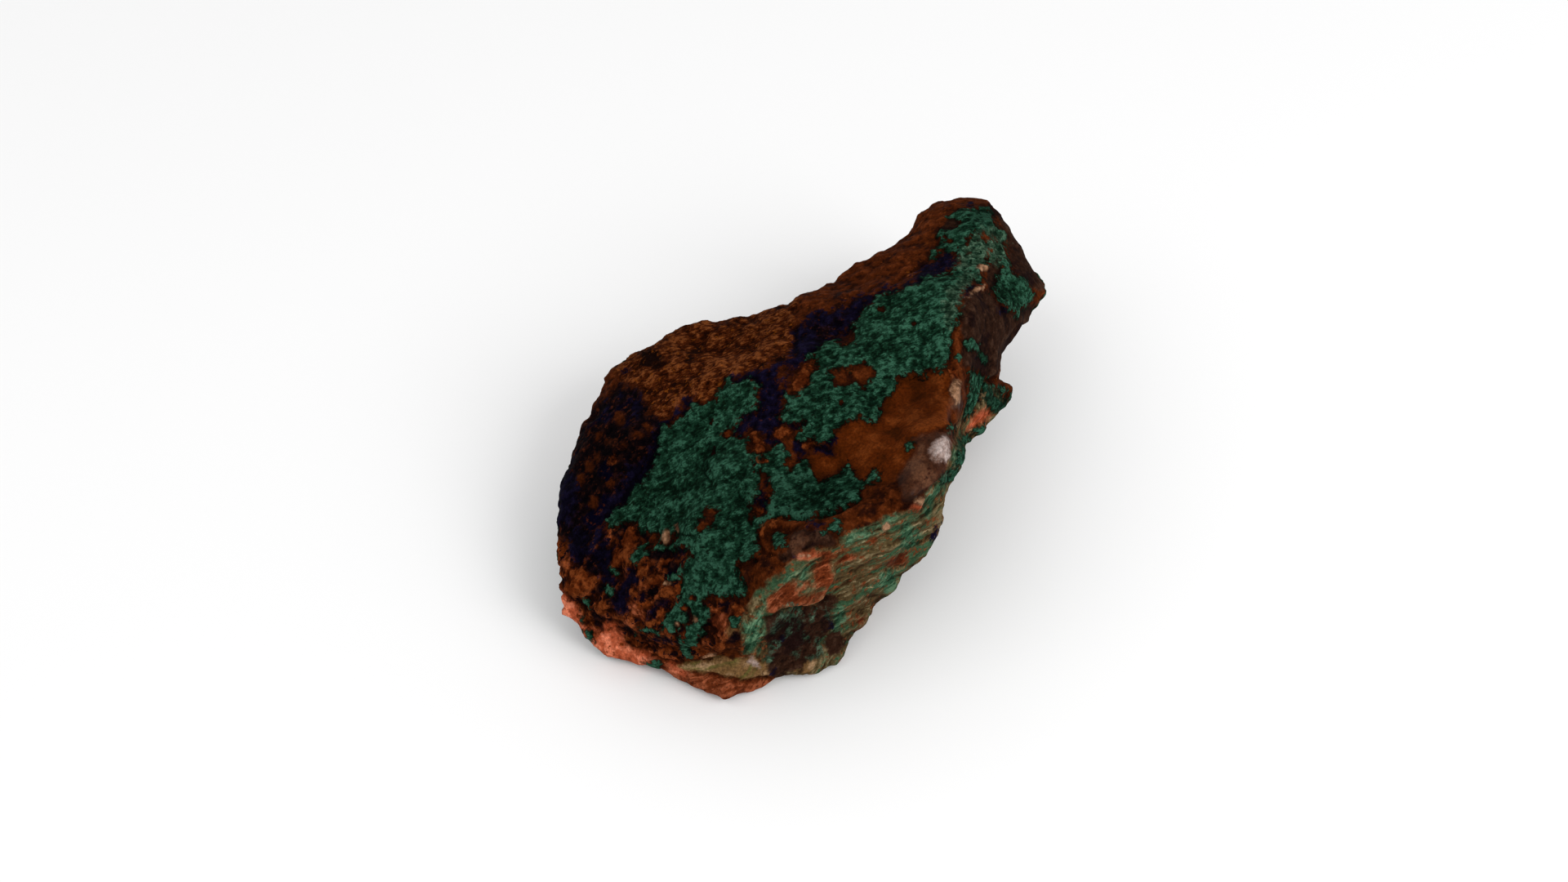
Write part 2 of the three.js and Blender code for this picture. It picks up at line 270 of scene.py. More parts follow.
# Outlines of the patches, in millimetres as seen.
PATCHES: dict[Mineral, tuple[Outline, ...]] = {
    Mineral.MALACHITE: (
        # the large patch on the left
        (
            (-18.3, 1.8), (-17.2, 2.2), (-16, 3.4), (-15, 3.6), (-14.3, 4.6), (-13.5, 5.3), (-12, 5.4),
            (-10.6, 6), (-9.8, 7.2), (-8.9, 8), (-8.4, 9.2), (-7.6, 8.8), (-6.6, 8.6), (-5.5, 9.4),
            (-4.5, 9), (-3.6, 8.2), (-4, 6.6), (-3.4, 5.8), (-4.6, 4.4), (-6.2, 3.8), (-6.8, 2.6),
            (-7.4, 1.8), (-7.8, 0.8), (-5.6, 0.2), (-5.3, -1), (-4.6, -2.2), (-4.2, -3.6), (-3.9, -4.8),
            (-3.9, -6.4), (-3.8, -7.8), (-4.6, -8.6), (-5.2, -9.8), (-4.6, -10.4), (-5.1, -11.8),
            (-3.2, -12.8), (-3.8, -14.2), (-4.4, -15.4), (-3.6, -16.4), (-4.6, -17.4), (-6.6, -18.2),
            (-7, -19.4), (-6.4, -21), (-5.4, -22), (-6, -23), (-7.6, -23.4), (-10, -22.8), (-11.8, -23),
            (-12, -24.6), (-11.1, -25.2), (-10.7, -26.3), (-11.4, -27.1), (-12.4, -27.4),
            (-11.9, -28.4), (-12.3, -29.6), (-13.2, -30.5), (-14.2, -30.9), (-13.8, -32.3),
            (-14.4, -32.4), (-15.5, -31), (-15.5, -29.6), (-15.3, -28.7), (-16.6, -28.8),
            (-17.8, -27.9), (-18, -26.4), (-17.2, -25), (-15.9, -24.3), (-15.6, -23), (-15.2, -21.8),
            (-14.8, -20.8), (-15.2, -19.4), (-14.6, -18.6), (-13.8, -17.4), (-14.4, -16.4),
            (-14.9, -15.6), (-16.4, -16.6), (-18, -16), (-19, -15), (-18.8, -14.2), (-19.6, -13.2),
            (-20.8, -13.6), (-21.4, -14), (-21.8, -12.4), (-23, -12), (-24.2, -12.4), (-25, -13),
            (-26.2, -13), (-26.6, -12), (-26, -11), (-24.8, -10), (-23.6, -9), (-23.2, -8), (-22.6, -7),
            (-21.4, -6.4), (-20.8, -5.6), (-20, -4.8), (-19.6, -3.4), (-18.8, -2), (-19, -1),
            (-18.5, 0.5),
        ),
        # the patch on the right, up to the end of the neck
        (
            (0.3, 7.2), (1.6, 6.6), (2.4, 7.2), (3, 8.4), (3.6, 9.2), (4.2, 9.9), (4.9, 10.8),
            (5.4, 11.4), (4.6, 12.2), (3.4, 12.4), (4, 13.2), (5.2, 13.8), (6.2, 14.6), (7.2, 15),
            (7.8, 14.4), (9, 14.2), (10.2, 14.2), (10.6, 15), (10.3, 16), (10.2, 17.4), (11, 18),
            (11.6, 18.6), (12, 19.6), (13, 20.4), (13.6, 21), (14.2, 21.8), (15.4, 22), (17.8, 22.6),
            (19, 23), (20.2, 23.4), (20.6, 24.2), (21.6, 24.6), (22.8, 24.4), (24, 24.8), (25, 25.4),
            (26, 26.2), (26.4, 26.8), (25.4, 27.8), (24.6, 28.4), (23.2, 28.2), (22.4, 27.4),
            (21.9, 27), (21.9, 28.2), (22.8, 28.6), (23, 29.6), (23, 30.8), (23.4, 31.6), (24.4, 31.6),
            (25.4, 32), (26.2, 32.4), (25.2, 33), (24.4, 33.4), (25.2, 33.9), (26.4, 34.4), (28, 34.4),
            (29.4, 34.6), (30.8, 34.8), (31.3, 34), (31, 33), (31.4, 32.2), (32.6, 31.6), (33.2, 30.6),
            (32.8, 29.4), (33.2, 28), (33.3, 26.8), (33.8, 25.4), (34.6, 24.6), (36, 24), (36.6, 22.8),
            (37.3, 21.8), (37, 20.8), (36, 20), (35.2, 19), (34.6, 18.5), (34, 19), (33.4, 20),
            (32.6, 20.8), (31.8, 21), (31.2, 21.8), (31.4, 23), (31.7, 24.4), (32.2, 25.4),
            (31.6, 26.6), (30.4, 26.4), (29.2, 26.2), (29, 25), (29.8, 23.4), (27.8, 24.2),
            (26.6, 22.4), (26.2, 21), (25.8, 20), (26.2, 19), (25.9, 18), (25.3, 17), (25, 15.8),
            (24.9, 14.4), (24.6, 13), (24.4, 11.8), (24, 10.6), (23.5, 9.6), (22.8, 10.2), (22, 10.8),
            (21.4, 9.9), (20.2, 9.4), (19.2, 9.8), (18.2, 9.9), (17, 9.8), (16.8, 9.2), (17.2, 8.4),
            (16.6, 7.4), (15.6, 6.4), (14.8, 5.6), (14.5, 4.6), (14.2, 3.6), (13.8, 2.9), (12.8, 2.6),
            (11.8, 2.9), (11.2, 3.5), (10.4, 3.4), (9.8, 2.8), (8.6, 2.6), (7.8, 2.2), (7.6, 1.2),
            (7, 0.6), (6.4, -0.2), (5.6, -0.8), (5, -0.2), (4.2, 0.4), (3.2, 0.7), (2.6, 1.2), (2.4, 2),
            (3.4, 2.4), (3, 2.9), (1.6, 2.8), (0.4, 2.6), (-0.6, 2.8), (-0.8, 3.6), (0.2, 4.4),
            (-0.4, 5.2), (0.6, 5.6), (-0.2, 6.6),
        ),
        # the wedge below the smooth hollow
        (
            (-2.6, -2.2), (-2, -1), (-1.2, -0.6), (-0.2, -0.8), (0.4, -1.8), (0, -3), (0.2, -4.2),
            (1, -4.8), (1.6, -4.2), (2, -3.4), (3, -3), (3.6, -3.2), (3.8, -4), (4.4, -5), (5, -5.9),
            (5.8, -5.9), (6.8, -5.5), (8, -5.2), (8.6, -4.6), (9.2, -4), (9.8, -3.5), (10.3, -3.8),
            (10.3, -4.8), (10.8, -5.6), (12, -6), (12.6, -5.6), (13, -5), (13.4, -4.4), (14.2, -4.2),
            (14.6, -4.9), (14.3, -5.7), (13.6, -6.6), (12.4, -6.9), (11.6, -7.4), (11.3, -8.2),
            (10.4, -8.9), (9, -9.7), (7.6, -10.4), (6, -10.8), (4.8, -11.3), (3.8, -11.8), (2, -11.8),
            (0.8, -11.6), (-0.8, -11.2), (-1.8, -11.7), (-2.6, -12.6), (-3.4, -12.8), (-4.8, -12.6),
            (-4.6, -11.8), (-3.4, -11.3), (-2.6, -10.8), (-2.4, -9.8), (-2.3, -8.8), (-1.8, -8.2),
            (-1.4, -7.4), (-2.2, -6.8), (-2.6, -6), (-2.2, -5), (-2.8, -4.2), (-2.4, -3.2),
        ),
        # where it joins the wedge
        (
            (-5.4, -1.6), (-3.8, -2.1), (-2.4, -1.8), (-1, -2.6), (-1.6, -4.2), (-2.5, -4.9),
            (-3.4, -4.5), (-5, -4.8),
        ),
        # finger at the lower left
        (
            (-20.4, -15), (-20, -16), (-20.4, -17.6), (-21.4, -18.6), (-22.4, -18), (-22, -16.6),
            (-21.2, -15.2),
        ),
        # stripe below the neck
        (
            (27.2, 10), (28, 10.8), (29.2, 10), (30.2, 9.4), (29.6, 7.6), (28.8, 6), (28.4, 4.4),
            (27.8, 3.2), (26.9, 3.4), (26.8, 4.4), (27.2, 6), (27.4, 8),
        ),
        # the tab of rock under the neck
        (
            (30.2, 8.8), (32, 8.2), (33.8, 7.2), (34.6, 6.4), (32.4, 4.4), (31.2, 4.2), (30.4, 5.2),
            (29.9, 6.6), (30, 7.8),
        ),
        # islands in the brown ridge
        ((6, -13.8), (7.4, -12), (8.2, -11.8), (8.4, -13.2), (7.4, -13.6)),
        ((-1.8, -14), (-1, -13.4), (0.2, -13.8), (0.4, -15), (-0.4, -16.2), (-1.4, -15.6)),
    ),
    Mineral.MIXED: (
        # the blunt end
        (
            (-24.6, 9.2), (-23.8, 8), (-22.4, 8), (-21.2, 7.8), (-21.4, 6.2), (-20.4, 4.8),
            (-19.2, 3.8), (-18.2, 2.8), (-17, 3.2), (-16, 4.4), (-15, 5), (-14.8, 6.4), (-13.8, 6.6),
            (-13.2, 5.2), (-14.6, 3.8), (-16.4, 3), (-17.4, 2.2), (-18, 0), (-18.6, -3), (-21, -7),
            (-24, -10.6), (-26.6, -12.6), (-28.4, -13.8), (-29.4, -15), (-30, -17), (-31, -17),
            (-31.6, -15.6), (-33, -14.6), (-36, -14), (-36, -1), (-31.6, 1.6), (-29.2, 3.2), (-28.4, 5),
            (-27.2, 6.6), (-26, 6.6), (-25.2, 8.4),
        ),
        # beside the upper vein
        (
            (1, 12.4), (1.6, 17), (3.6, 18.4), (6, 19.2), (8.6, 19.8), (11, 21.4), (13, 21.8),
            (11.6, 19), (9.6, 16.6), (7.4, 15), (4.4, 13.4), (2.4, 12),
        ),
    ),
    Mineral.AZURITE: (
        # along the large patch of malachite
        (
            (-13.2, 5.2), (-14.6, 3.8), (-16.4, 3), (-17.4, 2.2), (-18, 0), (-18.6, -3), (-21, -7),
            (-24, -10.6), (-26, -12), (-27.6, -11.4), (-26, -8.6), (-24, -6.4), (-23.6, -4),
            (-21.2, -3.6), (-20.2, -1.4), (-19.6, 1), (-18.2, 2.8), (-17, 3.2), (-16, 4.4), (-15, 5),
            (-14.6, 6.2), (-13.9, 6.4),
        ),
        ((-34.6, -5), (-32.4, -4), (-31, -6), (-30.6, -9), (-32, -12), (-34.6, -13)),
        # the vein from the middle up to the neck
        (
            (-5.4, 10.3), (-3, 10.8), (-1.6, 11.2), (-0.4, 11.8), (0.8, 12.6), (1.4, 13.6), (1.5, 16.6),
            (2.2, 17.6), (3.4, 17.6), (3.8, 19.2), (5.6, 19.4), (7, 19.2), (8.4, 20), (9.6, 20.4),
            (10.2, 21.4), (11.6, 21.6), (13.6, 22), (14.4, 23.2), (15.6, 23), (17.2, 22.8), (18, 24),
            (19.2, 24), (19.6, 25.2), (20.6, 26.6), (22.2, 26.6), (23, 27.6), (23.6, 28.4),
            (24.6, 28.2), (25.2, 27.4), (26.3, 27), (25.2, 25.6), (22.8, 24.2), (20.2, 23), (18, 22.3),
            (14, 21.3), (12, 19.4), (10, 16.8), (8.4, 15.6), (5.2, 13.4), (3, 12), (1.8, 11), (1, 10.2),
            (0.2, 9.4), (1, 8.4), (0.6, 7.4), (-0.4, 6.6), (-0.2, 5), (-0.6, 3.6), (-0.6, 2.8),
            (0.6, 2.6), (2, 2.9), (3.2, 2.6), (2.2, 1.8), (1.2, 2), (-0.4, 2.2), (-1.4, 1.4),
            (-1.2, 0.4), (-0.4, -0.4), (-1.6, -0.8), (-2.6, -0.2), (-2.8, 1), (-4, 1.6), (-5.6, 1.2),
            (-7, 0.6), (-8, 1.6), (-6.6, 2.6), (-6.4, 3.8), (-4.8, 4.6), (-3.4, 5.8), (-3.8, 7.6),
            (-5.6, 9.2), (-6.2, 8.4), (-7.6, 8.5), (-8.5, 9.4),
        ),
        (
            (-2.2, -4.4), (-3, -6), (-2.6, -8), (-3.6, -8.2), (-5, -8.8), (-3.6, -10), (-3, -11),
            (-2, -10.4),
        ),
        ((4.4, -1), (5.6, -0.6), (6.6, 0.4), (8.3, 0.6), (7.2, -1), (7, -1.9), (4.6, -1.9)),
        (
            (-31.4, -13), (-29.2, -13), (-26.6, -14.6), (-25.6, -17), (-25.4, -20.4), (-27.2, -20.8),
            (-27.6, -18.4), (-29, -17.6), (-30.6, -18.4), (-32.4, -16.4),
        ),
        (
            (-21.4, -19), (-22, -21.4), (-22.9, -22.8), (-23.3, -25.8), (-25, -26), (-25.5, -23.4),
            (-23.9, -21), (-22.9, -19.2),
        ),
    ),
    Mineral.GOLDEN: (
        (
            (-26, 11.5), (-24, 14), (-19, 16.5), (-14, 19.5), (-6, 20.5), (2, 22), (2, 18), (1.5, 13),
            (-1, 11.6), (-5, 10.4), (-8.8, 9.4), (-10.4, 6.8), (-12.6, 5.6), (-15, 6.2), (-16.4, 4.2),
            (-18.4, 3), (-20.4, 4.8), (-21.4, 7.6), (-24, 9),
        ),
    ),
    Mineral.OCHRE: (
        (
            (-36, -15), (-31.6, -15.4), (-28.6, -13), (-26.4, -13.4), (-23.8, -12), (-21.8, -12.6),
            (-21.6, -15), (-20, -17.6), (-15.4, -17), (-13.6, -17.6), (-15.4, -21), (-12, -24),
            (-8, -23.2), (-5.6, -24.6), (-6.6, -27.6), (-10, -31.6), (-16, -33), (-24, -30), (-30, -27),
            (-36, -22),
        ),
    ),
    Mineral.HOLLOW: (
        (
            (8, 1.4), (9, 2.7), (12, 3), (14.4, 3.8), (15.2, 6.2), (17.4, 8.6), (17, 9.8), (22, 10.4),
            (24, 10.2), (25.4, 9), (25.2, 4), (24, 2), (21.6, 1.2), (18.6, -2.6), (17, -6.2), (15, -7),
            (11.6, -5.6), (9, -3.8), (5, -5.8), (2.6, -3.4), (4.4, -2), (7.2, -1.8),
        ),
    ),
    Mineral.DARK: (
        # the broken facet at the end of the neck
        (
            (26.8, 21.2), (28, 21.8), (30.4, 22.4), (31.8, 20.8), (34, 19), (37, 20.4), (42, 21),
            (36, 14), (33, 12), (31.4, 9.2), (30.4, 9.2), (29.4, 10.4), (27.2, 10.8), (26.4, 12.6),
            (26.6, 16), (26.2, 19),
        ),
        # the end of the neck, right of the crust
        (
            (31.4, 35), (32.8, 31.6), (33.5, 29), (33.9, 26.4), (35, 24.6), (37, 22.6), (42, 22),
            (40, 27), (34, 34),
        ),
        # under the purple corner of the ridge
        (
            (2.2, -13.2), (5.4, -13.6), (7.6, -14), (7.8, -15.6), (4, -16), (1.4, -17), (-0.4, -18.6),
            (-0.8, -17.2), (0.4, -16), (0.8, -14.4),
        ),
        # the facet above the lens
        (
            (-2.8, -26.6), (0, -25.6), (2, -25), (4.4, -24.6), (6.6, -22.8), (8, -23), (7.2, -26),
            (6.4, -29), (5, -32), (3, -33.6), (0, -35.4), (-2.4, -35), (-2.4, -31), (-3, -29),
        ),
    ),
    Mineral.PALE: (
        # the lens above the foot
        (
            (-16.3, -33.5), (-14, -33.2), (-12, -32.9), (-10.4, -32.2), (-8.6, -32.3), (-7, -32.8),
            (-5.6, -32.3), (-4.2, -32.2), (-3, -33), (-2.2, -34.4), (-2.6, -35.3), (-5, -35.6),
            (-8, -35.3), (-10, -34.8), (-12.4, -34.5), (-14.6, -34.1),
        ),
        ((1.6, -34.4), (2.8, -33), (4.4, -32.2), (5, -33), (3.8, -34.5)),
        ((-8.8, -28.4), (-8.2, -27.2), (-7, -26.8), (-7, -28), (-7.8, -29.4)),
    ),
    Mineral.RED: (
        # the right part of the foot
        (
            (-20, -32.4), (-18, -32.6), (-16.4, -33.4), (-14, -34.4), (-10.6, -34.9), (-8, -35.4),
            (-6, -36), (-3, -35.6), (-1, -35.8), (-3, -40), (-14, -40), (-20, -37),
        ),
        # the bands of the side wall
        (
            (-2.8, -25.6), (-2.2, -23), (-0.6, -21.6), (1.4, -20.8), (2.2, -22), (3.8, -21.2),
            (4.6, -20.6), (4.2, -19.4), (5.2, -18.4), (5.6, -17.6), (4, -17.2), (4.6, -16.6),
            (7, -16.6), (9.4, -16.2), (7.2, -17.4), (6.8, -19), (7.5, -20.8), (6.6, -21.6), (6, -22.4),
            (4.4, -23.8), (2.6, -24.5), (0.4, -24.7), (-1.6, -26),
        ),
        ((15.2, -18.4), (16, -17.4), (18, -16.5), (18.6, -17), (18.2, -18.4), (16.6, -18.8)),
        ((-10.6, -26.4), (-8.8, -25.6), (-7.6, -24.6), (-6.8, -26), (-7.6, -28), (-10, -29)),
    ),
    Mineral.PINK: (
        # the left part of the foot
        (
            (-36, -22), (-32.6, -22.4), (-31.8, -24), (-30.8, -25.6), (-29.4, -27.8), (-28, -28.8),
            (-26.6, -28.2), (-24.6, -28.2), (-24, -30), (-22, -31.2), (-20, -32.4), (-19.6, -33.6),
            (-20, -37), (-26, -36), (-34, -30),
        ),
        # a lighter pink strip along a ridge of the foot: pink rock, partly a painted highlight where the
        # ridge catches the light
        ((-17.2, -33.2), (-16, -33.4), (-14.4, -34.6), (-14.8, -35.4), (-16.6, -34.6)),
        ((27.4, 2.6), (28.6, 4), (30, 4.8), (31.2, 4.2), (30, 2.8), (28.4, 1.9), (27, 0.8)),
    ),
    Mineral.QUARTZ: (
        (
            (19.2, 0), (20.4, 0.6), (21.8, 1), (23.2, 1.6), (24.6, 1.2), (25, 0), (24.6, -2.4),
            (24.2, -3), (23.8, -5), (22.6, -6.4), (21, -7.4), (20, -8.2), (19, -8.8), (18, -8.6),
            (17.4, -7.2), (17.4, -5.4), (18, -4), (18.6, -3), (19.4, -2.4), (19.8, -1),
        ),
    ),
    Mineral.MILKY: (
        (
            (22.3, -0.5), (22.9, 0.1), (24, 0.3), (24.6, -0.1), (24.5, -1), (24.6, -2.3), (24, -2.9),
            (23, -2.9), (22.2, -2.5), (22, -1.4),
        ),
    ),
    # pale worn crust over the malachite
    Mineral.WORN: (
        (
            (25.6, 26), (26.6, 28), (27.6, 29.4), (28.6, 30.8), (30.4, 31.4), (32, 31), (32.8, 29.6),
            (32.6, 27.6), (31.6, 26.4), (30.4, 27), (28.8, 26.6), (27, 25),
        ),
        ((23.8, 20), (24.8, 22.4), (27.2, 25), (28.8, 24.8), (26.4, 22), (25.6, 19.4), (24.6, 17)),
    ),
    Mineral.GREEN_BEDS: (
        (
            (8.2, -15), (9.6, -14), (12, -13.2), (16.6, -11.2), (15.8, -12.4), (12.4, -14.2),
            (9.4, -15.6),
        ),
        (
            (17, -12.6), (18.6, -12.4), (20.6, -13.4), (20.4, -15.4), (18.2, -16.2), (16.8, -16.4),
            (17.4, -14.4),
        ),
        ((14.2, -19.4), (16.4, -19), (17.2, -20.4), (16.8, -22.4), (15, -23), (14, -21.4)),
        ((0.2, -20.4), (3, -18.8), (5.2, -17.5), (4.6, -18.6), (2.2, -20.2), (-0.6, -21.8)),
        ((1.4, -21.8), (2.2, -20.4), (3.8, -19.2), (3.2, -21)),
        (
            (-6.2, -27.2), (-4.6, -26.2), (-3.4, -25), (-2.6, -23.6), (-2.4, -24.8), (-3, -27),
            (-3.3, -29.6), (-3.8, -31.4), (-5.4, -31.8), (-6.3, -31), (-5.4, -29.4), (-6, -28.4),
        ),
        ((7.2, -25), (8.4, -24.6), (9.4, -25.8), (9, -28), (7.6, -30), (6.8, -28.6), (7.4, -26.8)),
        (
            (20.6, -10.2), (21, -8), (22.6, -6.8), (24.4, -4.4), (24.2, -6.6), (22.4, -9.4),
            (21.4, -11.6),
        ),
        ((24.6, -2.6), (26, 0.4), (26.8, 1.6), (27, -1), (25.6, -4.4)),
    ),
    Mineral.WALL: (
        (
            (26.4, 4.6), (25.6, 2), (24.6, -3), (23.6, -5.6), (21, -7.6), (20.6, -10), (17, -10.8),
            (14.6, -11.8), (13, -13), (9, -13.6), (8, -15.6), (4, -16), (1, -17.8), (-0.6, -19.8),
            (-3.4, -22), (-5.6, -24.4), (-6.8, -27.4), (-6.4, -31.4), (-4, -32.2), (-2, -34), (0, -36),
            (10, -36), (30, -16), (36, 4), (30, 9),
        ),
    ),
}

# Places inside the patches that show the rock instead.
HOLES: dict[Mineral, tuple[Outline, ...]] = {
    Mineral.MALACHITE: (
        (
            (6.8, 10.2), (7.6, 10.6), (8.8, 10.7), (9.8, 10.2), (10.2, 11), (11, 11.6), (12.2, 11.6),
            (13, 11), (13.6, 10.2), (13.5, 9.4), (12.8, 8.8), (12, 8.2), (11.2, 8.1), (10.4, 8.8),
            (9.6, 8.5), (8.6, 8), (7.4, 7.9), (7, 8.6), (7.2, 9.4),
        ),
        (
            (-13, -13), (-12.6, -11.8), (-11.2, -10.6), (-9.6, -10.3), (-9.8, -11.4), (-10.8, -12.8),
            (-12, -13.5),
        ),
        (
            (31.2, 27.6), (32.1, 27.2), (32.2, 25.6), (31.6, 24), (31.4, 22), (30.6, 21.6), (30.6, 24),
            (31, 26),
        ),
    ),
    Mineral.RED: (((2.2, -22.6), (4, -21.7), (5.6, -21.7), (4.8, -22.8), (3.2, -23.4)),),
    Mineral.AZURITE: (
        ((-0.4, 11), (0.6, 10.8), (0, 9.4), (-0.6, 8.2), (0.6, 7.4), (-1, 9.6)),
        (
            (3, 17), (4.4, 16.6), (5, 15.4), (6.6, 15.6), (8, 17.4), (9.6, 19), (8.6, 18.6), (6, 17.2),
            (4.4, 17.8),
        ),
        ((-2.2, -6.6), (-1.6, -7.4), (-2, -8.4), (-3, -7.4)),
        ((-27.2, -13.2), (-27, -14.2), (-28.2, -16.2), (-29, -16.8), (-29.2, -16), (-28.4, -14.4)),
        ((-4.4, -10.2), (-3.4, -10.2), (-3.6, -11.2), (-4.6, -11.2)),
    ),
}

